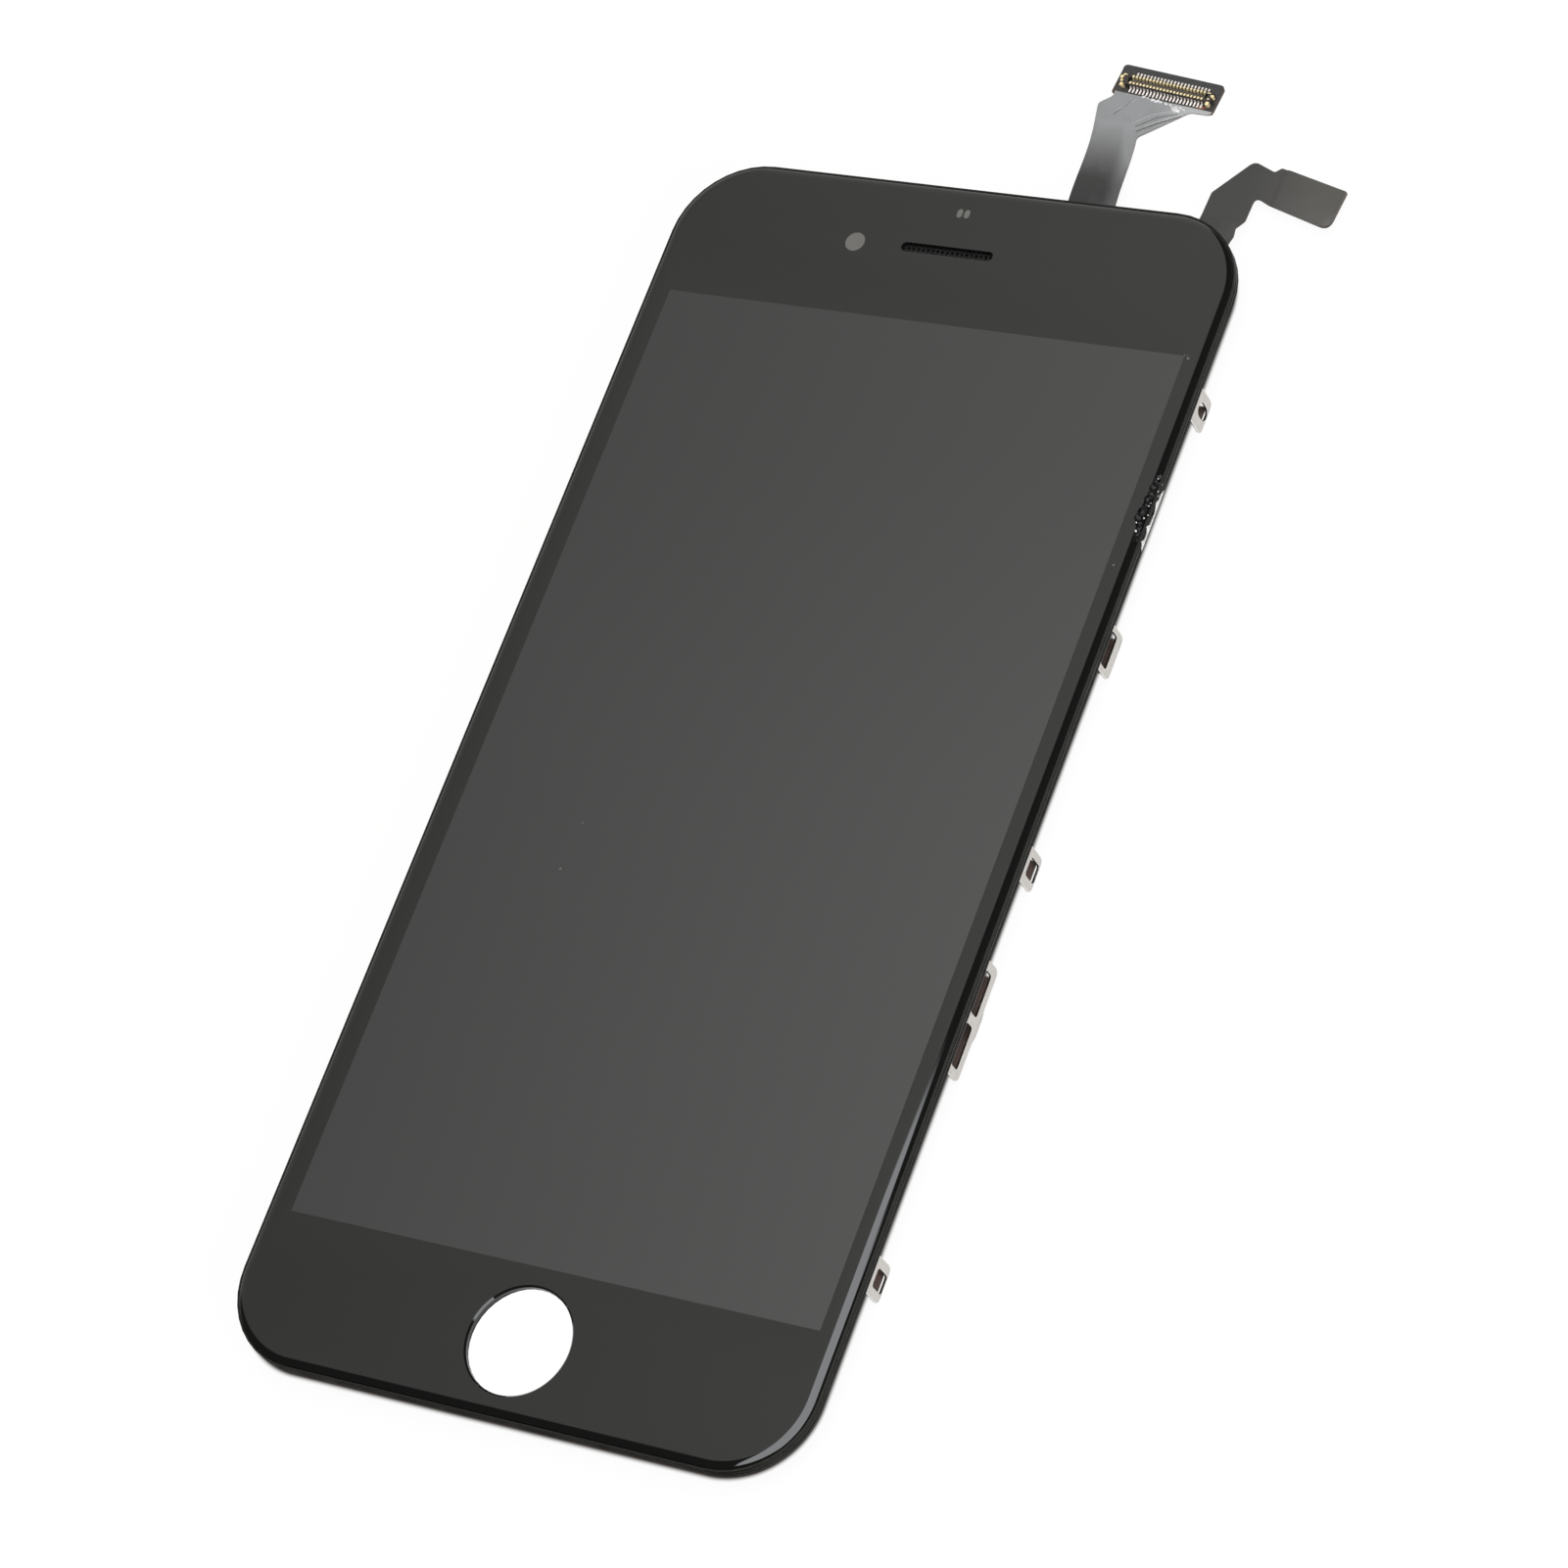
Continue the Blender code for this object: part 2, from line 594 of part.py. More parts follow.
def mirrored(source, name, finish):
    """The evaluated shape of a piece as its mirror image on the other side of the panel."""
    depsgraph = bpy.context.evaluated_depsgraph_get()
    data = bpy.data.meshes.new_from_object(source.evaluated_get(depsgraph))
    data.name = name
    data.transform(Matrix.Scale(-1.0, 4, (1.0, 0.0, 0.0)))
    data.flip_normals()
    return placed(bpy.data.objects.new(name, data), finish, parts)


def crown(bm, face, width, drop, steps):
    """Rounds the rim of a flat face by a quarter ellipse of this width and drop."""
    done_width, done_height = 0.0, 0.0
    for step in range(1, steps + 1):
        angle = math.radians(90.0 * step / steps)
        next_width = width * (1.0 - math.cos(angle))
        next_height = drop * math.sin(angle)
        bmesh.ops.inset_region(
            bm,
            faces=[face],
            thickness=next_width - done_width,
            depth=next_height - done_height,
            use_even_offset=True,
        )
        done_width, done_height = next_width, next_height


def scoop(name, centre, size, turn, finish):
    """Faceted lump, as glass breaks away in shells."""
    bm = bmesh.new()
    bmesh.ops.create_icosphere(bm, subdivisions=1, radius=1.0)
    spin = Euler((turn, 0.7 * turn, 0.4 * turn)).to_matrix()
    for vert in bm.verts:
        vert.co = Vector(centre) + Vector([a * b for a, b in zip(spin @ vert.co, size)])
    data = bpy.data.meshes.new(name)
    bm.to_mesh(data)
    bm.free()
    return placed(bpy.data.objects.new(name, data), finish, cutters)


def cover_glass():
    inset = RIM_WALL + RIM_GAP
    bm = bmesh.new()
    verts = [bm.verts.new((x, y, GLASS_BACK)) for x, y in panel_outline(inset)]
    face = bm.faces.new(verts)
    raised = bmesh.ops.extrude_face_region(bm, geom=[face])["geom"]
    top = next(item for item in raised if isinstance(item, bmesh.types.BMFace))
    for vert in top.verts:
        vert.co.z = -GLASS_EDGE_DROP
    bm.normal_update()
    if top.normal.z < 0:
        top.normal_flip()
    bmesh.ops.recalc_face_normals(bm, faces=bm.faces)
    crown(bm, top, GLASS_EDGE_WIDTH, GLASS_EDGE_DROP, GLASS_EDGE_STEPS)
    data = bpy.data.meshes.new("cover_glass")
    bm.to_mesh(data)
    bm.free()
    glass = placed(bpy.data.objects.new("cover_glass", data), "glass", parts)
    flare = SPARE
    bore = [
        (HOME_RADIUS, -REACH),
        (HOME_RADIUS, -HOLE_CHAMFER),
        (HOME_RADIUS + HOLE_CHAMFER + flare, flare),
    ]
    home = lathe("home_bore", bore, (0.0, HOME_Y), "glass")
    ear = plate("ear_slot", [slot((0.0, TOP_ROW_Y), SLOT_LENGTH, SLOT_WIDTH)], -REACH, REACH, "glass", cutters)
    cut(glass, home, ear)
    edge = PANEL_SIDE - inset
    for number, (y, radius, reach) in enumerate(GLASS_SCOOPS, 1):
        centre = (edge + radius * 0.6 - reach, DAMAGE_Y + y, -SCOOP_DEPTH)
        size = (radius, radius * 1.1, radius * 0.8)
        cut(glass, scoop(f"glass_scoop_{number}", centre, size, 0.9 * number, "glass"))
    return glass


def border_print():
    loops = [panel_outline(RIM_WALL + RIM_GAP + LAYER_GAP)]
    loops.append(rectangle(-VIEW_WIDTH / 2, VIEW_WIDTH / 2, VIEW_BOTTOM, VIEW_TOP))
    loops.append(circle((0.0, HOME_Y), HOME_RADIUS))
    loops.append(slot((0.0, TOP_ROW_Y), SLOT_LENGTH, SLOT_WIDTH))
    loops.append(circle((CAMERA_X, TOP_ROW_Y), CAMERA_RADIUS, 20))
    for side in (-1, 1):
        middle = side * SENSOR_SPACING / 2
        oval = [(y, x) for x, y in slot((0.0, 0.0), SENSOR_LENGTH, SENSOR_WIDTH, 4)]
        loops.append([(middle + x, SENSOR_Y + y) for x, y in oval])
    printed = plate("border_print", loops, PRINT_BACK, PRINT_FRONT, "print")
    edge = PANEL_SIDE
    for number, (y, radius, reach) in enumerate(GLASS_SCOOPS, 1):
        gone = circle((edge + radius - reach - RIM_WALL, DAMAGE_Y + y), radius, 9)
        cut(printed, plate(f"print_loss_{number}", [gone], -REACH, REACH, "print", cutters))
    return printed


def frame_adhesive():
    outer = panel_outline(RIM_WALL + RIM_GAP + 2 * LAYER_GAP)
    inner = panel_outline(FRAME_WIDTH - LAYER_GAP)
    front = PRINT_BACK - LAYER_GAP
    return plate("frame_adhesive", [outer, inner], front - GLUE_THICKNESS, front, "adhesive")


def flange_outline(end):
    """The part of the frame's inside beyond a straight edge at the upper (+1) or lower (-1) end."""
    limit = TOP_FLANGE_Y if end > 0 else BOTTOM_FLANGE_Y
    inside = panel_outline(FRAME_WIDTH - SKIRT_WALL / 2)
    kept = [point for point in inside if (point[1] - limit) * end > 0]
    reach = PANEL_SIDE - FRAME_WIDTH + SKIRT_WALL / 2
    if end > 0:
        return [(reach, limit)] + kept + [(-reach, limit)]
    return [(-reach, limit)] + kept + [(reach, limit)]


def rim_break():
    """Jagged shallow break in the frame's outer wall, under the chipped glass."""
    outline = [(DAMAGE_Y + y, z) for y, z in RIM_BREAK]
    inner, outer = PANEL_SIDE - RIM_BREAK_DEPTH, PANEL_SIDE + SPARE
    return plate("rim_break", [outline], inner, outer, "black_plastic", cutters, rotation="x")


def bezel_frame():
    section = [(0.0, RIM_TOP)]
    for groove in GROOVES:
        section += [(0.0, groove + GROOVE_SIZE), (-GROOVE_SIZE, groove), (0.0, groove - GROOVE_SIZE)]
    section += [
        (0.0, LIP_BOTTOM),
        (SKIRT_WALL - FRAME_WIDTH, LIP_BOTTOM),
        (SKIRT_WALL - FRAME_WIDTH, SKIRT_BOTTOM),
        (-FRAME_WIDTH, SKIRT_BOTTOM),
        (-FRAME_WIDTH, LEDGE_TOP),
        (-RIM_WALL, LEDGE_TOP),
        (-RIM_WALL, RIM_TOP),
    ]
    frame = swept_ring("bezel_frame", panel_outline(0.0), section, "black_plastic")
    ear_hole = slot((0.0, TOP_ROW_Y), MESH_LENGTH + 2 * POCKET_GAP, MESH_WIDTH + 2 * POCKET_GAP)
    camera_hole = circle((CAMERA_X, TOP_ROW_Y), CAMERA_RADIUS + CAMERA_RING_WALL + POCKET_GAP, 20)
    half = SENSOR_HOLDER_LENGTH / 2 + POCKET_GAP
    reach = SENSOR_HOLDER_WIDTH / 2 + POCKET_GAP
    sensor_hole = rectangle(-half, half, SENSOR_Y - reach, SENSOR_Y + reach)
    top_loops = [flange_outline(1), ear_hole, camera_hole, sensor_hole]
    bottom_loops = [flange_outline(-1), circle((0.0, HOME_Y), HOME_RADIUS + HOME_STEP)]
    top = plate("top_flange", top_loops, TOP_FLANGE_BACK, FLANGE_TOP, "black_plastic", cutters)
    bottom = plate("bottom_flange", bottom_loops, BOTTOM_FLANGE_BACK, FLANGE_TOP, "black_plastic", cutters)
    join(frame, top, bottom)
    cut(frame, rim_break())
    notch_top = FILM_ROOT_Z + FILM / 2 + NOTCH_RISE
    for name, left, right, depth in (
        ("display_notch", DISPLAY_EDGES[0], DISPLAY_EDGES[1], 2 * FRAME_WIDTH),
        ("touch_notch", TOUCH_ELBOW[0], TOUCH_RIGHT[0], 6 * FRAME_WIDTH),
    ):
        near, far = PANEL_SIDE + left - NOTCH_SIDE, PANEL_SIDE + right + NOTCH_SIDE
        outline = rectangle(near, far, PANEL_END - depth, PANEL_END)
        cut(frame, plate(name, [outline], -REACH, notch_top, "black_plastic", cutters))
    return frame


def clip_path(depth):
    """Middle line of a right-hand clip, seen along Y, from its root in the frame to its lead-in at the bottom."""
    face = PANEL_SIDE - CLIP_INSET - STEEL / 2
    top = LIP_BOTTOM - SEAT_GAP - STEEL / 2
    path = [(face - CLIP_ROOT, top)]
    path += arc((face - CLIP_BEND, top - CLIP_BEND), CLIP_BEND, 90.0, 0.0, 4)
    path.append((face, WINDOW_SILL - depth))
    path.append((face - CLIP_LEAD, -depth - STEEL))
    return path


def lobed_stamp(start, end, depth):
    """Outline of the double clip: its foot reaches lowest in a lobe between the two windows."""
    middle = (start + end) / 2
    foot = LOBE_RISE - depth
    return [
        (end, REACH),
        (start, REACH),
        (start, foot),
        (middle - LOBE_LENGTH / 2 - LOBE_RISE, foot),
        (middle - LOBE_LENGTH / 2 + LOBE_RISE, -depth),
        (middle + LOBE_LENGTH / 2 - LOBE_RISE, -depth),
        (middle + LOBE_LENGTH / 2 + LOBE_RISE, foot),
        (end, foot),
    ]


def clip(name, spec):
    centre = spec["place"] * STRAIGHT_END
    start = centre - spec["length"] / 2
    end = centre + spec["length"] / 2
    depth = spec["depth"]
    if spec["lobe"]:
        stamp = filleted(lobed_stamp(start, end, depth), CLIP_CORNER)
    else:
        stamp = rounded_box(start, end, -depth, REACH, CLIP_CORNER)
    loops = [stamp]
    for offset, share in spec["windows"]:
        near = centre + (offset - share / 2) * spec["length"]
        far = centre + (offset + share / 2) * spec["length"]
        loops.append(rounded_box(near, far, -spec["sill"], -spec["head"], spec["rounding"]))
    strip = bent_sheet(name, clip_path(depth), spec["length"] + 2 * SPARE, STEEL, "steel", "y", centre)
    tool = plate(name + "_stamp", loops, 0.0, PANEL_WIDTH, "steel", cutters, rotation="x")
    boolean(strip, tool, "INTERSECT")
    return strip


def side_clips():
    frame = bpy.data.objects["bezel_frame"]
    outer = PANEL_SIDE - (FRAME_WIDTH - SKIRT_WALL) + SEAT_GAP
    inner = PANEL_SIDE - CLIP_INSET - STEEL - CLIP_ROOT - SEAT_GAP
    low = LIP_BOTTOM - STEEL - 2 * SEAT_GAP
    for number, spec in enumerate(CLIPS, 1):
        right = clip(f"clip_right_{number}", spec)
        mirrored(right, f"clip_left_{number}", "steel")
        centre = spec["place"] * STRAIGHT_END
        start = centre - spec["length"] / 2 - SEAT_GAP
        end = centre + spec["length"] / 2 + SEAT_GAP
        for side, word in ((1, "right"), (-1, "left")):
            near, far = sorted((side * inner, side * outer))
            seat = [rectangle(near, far, start, end)]
            cut(frame, plate(f"clip_seat_{word}_{number}", seat, low, LIP_BOTTOM, "black_plastic", cutters))


def lower_tabs():
    y = -PANEL_END + TAB_INSET
    top = BOTTOM_FLANGE_BACK - SEAT_GAP - STEEL / 2
    path = [(y + TAB_FOOT, top)]
    path += arc((y + CLIP_BEND, top - CLIP_BEND), CLIP_BEND, 90.0, 180.0, 4)
    path.append((y, -TAB_DEPTH - STEEL))
    for side, word in ((-1, "left"), (1, "right")):
        x = side * TAB_X
        name = f"lower_tab_{word}"
        sheet = bent_sheet(name, path, TAB_WIDTH + 2 * SPARE, STEEL, "steel", "x", x)
        outline = rounded_box(x - TAB_WIDTH / 2, x + TAB_WIDTH / 2, -TAB_DEPTH, REACH, CLIP_CORNER)
        hole = circle((x, -TAB_HOLE_DEPTH), TAB_HOLE_RADIUS, 16)
        tool = plate(name + "_stamp", [outline, hole], -PANEL_LENGTH, PANEL_LENGTH, "steel", cutters, "y")
        boolean(sheet, tool, "INTERSECT")


def top_hooks():
    y = PANEL_END - HOOK_INSET
    top = TOP_FLANGE_BACK - SEAT_GAP - STEEL / 2
    path = [(y - HOOK_FOOT, top)]
    path += arc((y - CLIP_BEND, top - CLIP_BEND), CLIP_BEND, 90.0, 0.0, 4)
    path += arc((y + CLIP_BEND, CLIP_BEND - HOOK_DEPTH), CLIP_BEND, 180.0, 270.0, 4)
    path.append((y + HOOK_REACH, -HOOK_DEPTH))
    for number, x in enumerate(HOOK_X, 1):
        bent_sheet(f"top_hook_{number}", path, HOOK_WIDTH, STEEL, "steel", "x", x)


def threaded_insert(name, centre, front):
    back = front - INSERT_HEIGHT
    outline = circle(centre, INSERT_RADIUS, 12)
    bore = circle(centre, INSERT_BORE, 8)
    body = plate(name, [outline, bore], back, front, "brass")
    groove = [circle(centre, INSERT_RADIUS + INSERT_COLLAR, 12), circle(centre, INSERT_RADIUS * 0.82, 12)]
    low, high = back + INSERT_COLLAR, front - INSERT_COLLAR
    cut(body, plate(name + "_groove", groove, low, high, "brass", cutters))


def inserts():
    number = 0
    for centres, flange_back in ((TOP_INSERTS, TOP_FLANGE_BACK), (BOTTOM_INSERTS, BOTTOM_FLANGE_BACK)):
        for centre in centres:
            number += 1
            threaded_insert(f"insert_{number}", centre, flange_back - SEAT_GAP)


def earpiece():
    centre = (0.0, TOP_ROW_Y)
    front = PRINT_BACK - LAYER_GAP
    loops = [slot(centre, MESH_LENGTH, MESH_WIDTH)]
    column_pitch = (SLOT_LENGTH - SLOT_WIDTH / 2) / MESH_COLUMNS
    row_pitch = SLOT_WIDTH / (MESH_ROWS + 0.5)
    for column in range(MESH_COLUMNS):
        for row in range(MESH_ROWS):
            x = (column - (MESH_COLUMNS - 1) / 2) * column_pitch
            y = TOP_ROW_Y + (row - (MESH_ROWS - 1) / 2) * row_pitch
            half = MESH_HOLE / 2
            loops.append(rectangle(x - half, x + half, y - half, y + half))
    plate("earpiece_mesh", loops, front - MESH_THICKNESS, front, "steel")
    back = front - MESH_THICKNESS - LAYER_GAP
    inner = slot(centre, MESH_LENGTH - 2 * GASKET_WALL, MESH_WIDTH - 2 * GASKET_WALL)
    plate("earpiece_gasket", [slot(centre, MESH_LENGTH, MESH_WIDTH), inner], back - GASKET_HEIGHT, back, "adhesive")


def top_row_pieces():
    front = PRINT_BACK - LAYER_GAP
    centre = (CAMERA_X, TOP_ROW_Y)
    ring = [circle(centre, CAMERA_RADIUS + CAMERA_RING_WALL, 20), circle(centre, CAMERA_RADIUS + POCKET_GAP, 20)]
    plate("camera_ring", ring, front - CAMERA_RING_HEIGHT, front, "clear_film")
    half = SENSOR_HOLDER_LENGTH / 2
    reach = SENSOR_HOLDER_WIDTH / 2
    outline = rounded_box(-half, half, SENSOR_Y - reach, SENSOR_Y + reach, SENSOR_HOLDER_RADIUS)
    plate("sensor_holder", [outline], front - SENSOR_HOLDER_HEIGHT, front, "black_plastic")


def cell_layer(name, front, thickness, inset, top, finish):
    half = CELL_WIDTH / 2 - inset
    return plate(name, [rectangle(-half, half, CELL_BOTTOM + inset, top)], front - thickness, front, finish)


def lcd_cell():
    film_top = FILTER_TOP - POLARIZER_INSET
    film = POLARIZER_INSET
    cell_layer("optical_adhesive", ADHESIVE_FRONT, ADHESIVE_THICKNESS, film, film_top, "clear_film")
    cell_layer("front_polarizer", POLARIZER_FRONT, POLARIZER_THICKNESS, film, film_top, "clear_film")
    cell_layer("colour_filter_glass", FILTER_FRONT, CELL_GLASS_THICKNESS, 0.0, FILTER_TOP, "cell_glass")
    cell_layer("tft_glass", TFT_FRONT, CELL_GLASS_THICKNESS, 0.0, CELL_TOP, "cell_glass")
    cell_layer("rear_polarizer", REAR_POLARIZER_FRONT, POLARIZER_THICKNESS, film, film_top, "clear_film")
    back = TFT_FRONT + LAYER_GAP
    y = FILTER_TOP + DRIVER_STEP
    left, right = DRIVER_X - DRIVER_LENGTH / 2, DRIVER_X + DRIVER_LENGTH / 2
    outline = rectangle(left, right, y - DRIVER_WIDTH / 2, y + DRIVER_WIDTH / 2)
    plate("driver_chip", [outline], back, back + DRIVER_HEIGHT, "silicon")


def backlight():
    half = CELL_WIDTH / 2 - PAN_THICKNESS - TRAY_GAP
    bottom = CELL_BOTTOM + PAN_THICKNESS + TRAY_GAP
    top = PAN_TOP - PAN_THICKNESS - TRAY_GAP
    around = rounded_box(-half, half, bottom, top, PAN_RADIUS - PAN_THICKNESS - TRAY_GAP)
    tape = [around]
    tape.append(rectangle(-VIEW_WIDTH / 2, VIEW_WIDTH / 2, VIEW_BOTTOM, VIEW_TOP))
    plate("rim_tape", tape, TAPE_FRONT - TAPE_THICKNESS, TAPE_FRONT, "print")
    inner_half = half - TRAY_WALL
    inner_bottom = bottom + TRAY_WALL
    inner_top = top - TRAY_WALL
    tray = [around, rectangle(-inner_half, inner_half, inner_bottom, inner_top)]
    plate("moulded_tray", tray, REFLECTOR_BACK, TRAY_FRONT, "white_plastic")
    side = inner_half - TRAY_GAP
    film_bottom = inner_bottom + TRAY_GAP
    film_top = inner_top - TRAY_GAP
    led_top = film_bottom + LED_SPINE + LED_DEPTH
    films = (
        ("upper_prism_film", UPPER_PRISM_FRONT, PRISM_THICKNESS, film_bottom, "clear_film"),
        ("lower_prism_film", LOWER_PRISM_FRONT, PRISM_THICKNESS, film_bottom, "clear_film"),
        ("diffuser_film", DIFFUSER_FRONT, DIFFUSER_THICKNESS, film_bottom, "clear_film"),
        ("light_guide", GUIDE_FRONT, GUIDE_THICKNESS, led_top + TRAY_GAP, "clear_film"),
        ("reflector_film", REFLECTOR_FRONT, REFLECTOR_THICKNESS, film_bottom, "white_plastic"),
    )
    for name, front, thickness, low, finish in films:
        plate(name, [rectangle(-side, side, low, film_top)], front - thickness, front, finish)
    spine_top = film_bottom + LED_SPINE
    pitch = 2 * side / LED_COUNT
    comb = [(-side, film_bottom), (side, film_bottom), (side, spine_top)]
    for index in reversed(range(LED_COUNT)):
        middle = (index - (LED_COUNT - 1) / 2) * pitch
        for x, y in (
            (middle + LED_LENGTH / 2, spine_top),
            (middle + LED_LENGTH / 2, led_top),
            (middle - LED_LENGTH / 2, led_top),
            (middle - LED_LENGTH / 2, spine_top),
        ):
            comb.append((x, y))
    comb.append((-side, spine_top))
    plate("led_strip", [comb], GUIDE_BACK, GUIDE_FRONT, "white_plastic")


def backlight_pan():
    """Folded steel pan: an open tray with its floor behind the reflector and walls around the moulded tray."""
    half = CELL_WIDTH / 2
    bm = bmesh.new()
    outline = rounded_box(-half, half, CELL_BOTTOM, PAN_TOP, PAN_RADIUS)
    floor = bm.faces.new([bm.verts.new((x, y, PAN_FRONT - PAN_THICKNESS)) for x, y in outline])
    walls = bmesh.ops.extrude_edge_only(bm, edges=list(floor.edges))["geom"]
    for item in walls:
        if isinstance(item, bmesh.types.BMVert):
            item.co.z = TRAY_FRONT
    bmesh.ops.recalc_face_normals(bm, faces=bm.faces)
    data = bpy.data.meshes.new("backlight_pan")
    bm.to_mesh(data)
    bm.free()
    pan = placed(bpy.data.objects.new("backlight_pan", data), "steel", parts)
    solidify = pan.modifiers.new("thickness", "SOLIDIFY")
    solidify.thickness = PAN_THICKNESS
    solidify.offset = -1.0
    solidify.use_even_offset = True
    return pan


def eased(share):
    return share * share * (3.0 - 2.0 * share)


def from_corner(point):
    return (PANEL_SIDE + point[0], PANEL_END + point[1], *point[2:])


def film_path(bond_y, bond_z, head_z, fall, slope=0.0):
    """Middle line of a film circuit, seen along X: bonded, dipping under the flange, level, falling, straight."""
    path = [(bond_y, bond_z)]
    for start, end, low, high in (
        (CELL_TOP, DIP_END_Y, bond_z, FILM_ROOT_Z),
        (PANEL_END + fall[0], PANEL_END + fall[1], FILM_ROOT_Z, head_z),
    ):
        for step in range(BEND_STEPS + 1):
            share = step / BEND_STEPS
            path.append((start + (end - start) * share, low + (high - low) * eased(share)))
    path.append((PANEL_END + SHEET_END_Y, head_z + slope * (SHEET_END_Y - fall[1])))
    return path


def film_circuit(name, path, corners, finish):
    """Film cut to an outline, seen from the front, and bent along the path."""
    sheet = bent_sheet(name, path, PANEL_WIDTH, FILM, finish, "x", PANEL_SIDE / 2)
    tool = plate(name + "_outline", [filleted(corners, FILM_FILLET, 3)], -2 * REACH, REACH, finish, cutters)
    boolean(sheet, tool, "INTERSECT")
    return sheet


def head_corners(centre, size, angle):
    half_x, half_y = size[0] / 2, size[1] / 2
    box = [(half_x, half_y), (-half_x, half_y), (-half_x, -half_y), (half_x, -half_y)]
    return turned(box, angle, centre)


def display_circuit():
    middle = from_corner(DISPLAY_HEAD_CENTRE)
    head = head_corners(middle, DISPLAY_HEAD_SIZE, DISPLAY_HEAD_ANGLE)
    left, right = [PANEL_SIDE + x for x in DISPLAY_EDGES]
    bond_left, bond_right = [PANEL_SIDE + x for x in DISPLAY_BOND_EDGES]
    corners = [
        head[0],
        head[1],
        from_corner(DISPLAY_SHOULDER),
        from_corner(DISPLAY_ELBOW),
        (left, PANEL_END + DISPLAY_ROOT_Y),
        (left, NECK_Y),
        (bond_left, BOND_SPREAD_Y),
        (bond_left, DISPLAY_BOND_Y),
        (bond_right, DISPLAY_BOND_Y),
        (bond_right, BOND_SPREAD_Y),
        (right, NECK_Y),
        (right, PANEL_END + DISPLAY_ROOT_Y),
        from_corner(DISPLAY_CROTCH),
        from_corner(DISPLAY_HEEL),
        head[3],
    ]
    bond_z = TFT_FRONT + LAYER_GAP + FILM / 2
    path = film_path(DISPLAY_BOND_Y, bond_z, DISPLAY_HEAD_Z, DISPLAY_FALL)
    film_circuit("display_flex", path, corners, "copper_film")
    board_size = (DISPLAY_HEAD_SIZE[0], DISPLAY_HEAD_SIZE[1] - FILM_FILLET)
    board = head_corners(middle, board_size, DISPLAY_HEAD_ANGLE)
    top = DISPLAY_HEAD_Z - FILM / 2 - LAYER_GAP
    plate("display_stiffener", [filleted(board, FILM_FILLET, 3)], top - STIFFENER, top, "steel")
    seat = DISPLAY_HEAD_Z + FILM / 2 + LAYER_GAP
    centre = turned([CONNECTOR_SHIFT], DISPLAY_HEAD_ANGLE, middle)[0]
    connector("display_connector", centre, DISPLAY_HEAD_ANGLE, seat, 1, PIN_COUNT)
    hold_downs(centre, seat)


def comb_edge(pins, start, end):
    """Teeth of one row of solder tails along X, from the wall at start to the tail ends at end."""
    points = []
    for index in range(pins):
        middle = (index - (pins - 1) / 2) * PIN_PITCH
        points += [
            (middle - PIN_WIDTH / 2, start),
            (middle - PIN_WIDTH / 2, end),
            (middle + PIN_WIDTH / 2, end),
            (middle + PIN_WIDTH / 2, start),
        ]
    return points


def connector(name, centre, angle, seat, facing, pins, contacts=True, tilt=Matrix()):
    """Board connector: a moulded trough with rows of contacts inside and rows of solder tails outside."""
    half = pins * PIN_PITCH / 2 + CONNECTOR_END
    wall = CONNECTOR_WIDTH / 2
    place = tilt @ Matrix.Translation((centre[0], centre[1], seat)) @ Matrix.Rotation(angle, 4, "Z")

    def slab(label, loop, low, high, collection=cutters):
        back, front = sorted((facing * low, facing * high))
        made = prism(label, loop, back, front, "connector", collection)
        made.matrix_world = place
        return made

    body = slab(name, rounded_box(-half, half, -wall, wall, CONNECTOR_CORNER, 2), 0.0, CONNECTOR_HEIGHT, parts)
    reach = half - CONNECTOR_END * 0.7
    edge = wall - CONNECTOR_WALL
    far_contacts = comb_edge(pins, edge, edge - CONTACT_REACH) if contacts else []
    far_side = [(-reach, edge)] + far_contacts + [(reach, edge)]
    near_side = [(-x, -y) for x, y in far_side]
    cut(body, slab(name + "_trough", far_side + near_side, CONNECTOR_FLOOR, 2 * CONNECTOR_HEIGHT))
    far_tails = comb_edge(pins, wall - TAIL_ROOT, wall + TAIL_REACH)
    near_tails = [(-x, -y) for x, y in far_tails]
    join(body, slab(name + "_tails", far_tails + near_tails, TAIL_THICKNESS * 0.25, TAIL_THICKNESS))
    return body


def hold_downs(centre, seat):
    """Solder lugs that wrap the connector's two ends."""
    end = PIN_COUNT * PIN_PITCH / 2 + CONNECTOR_END + SEAT_GAP
    side = CONNECTOR_WIDTH / 2 + SEAT_GAP
    start = end - HOLD_DOWN_ARM
    hook = [
        (start, side + HOLD_DOWN),
        (start, side),
        (end, side),
        (end, -side),
        (start, -side),
        (start, -side - HOLD_DOWN),
        (end + HOLD_DOWN, -side - HOLD_DOWN),
        (end + HOLD_DOWN, side + HOLD_DOWN),
    ]
    for sign, word in ((-1, "left"), (1, "right")):
        spun = turned([(sign * x, y) for x, y in hook], DISPLAY_HEAD_ANGLE, centre)
        plate(f"hold_down_{word}", [spun], seat, seat + CONNECTOR_HEIGHT * 0.7, "gold")


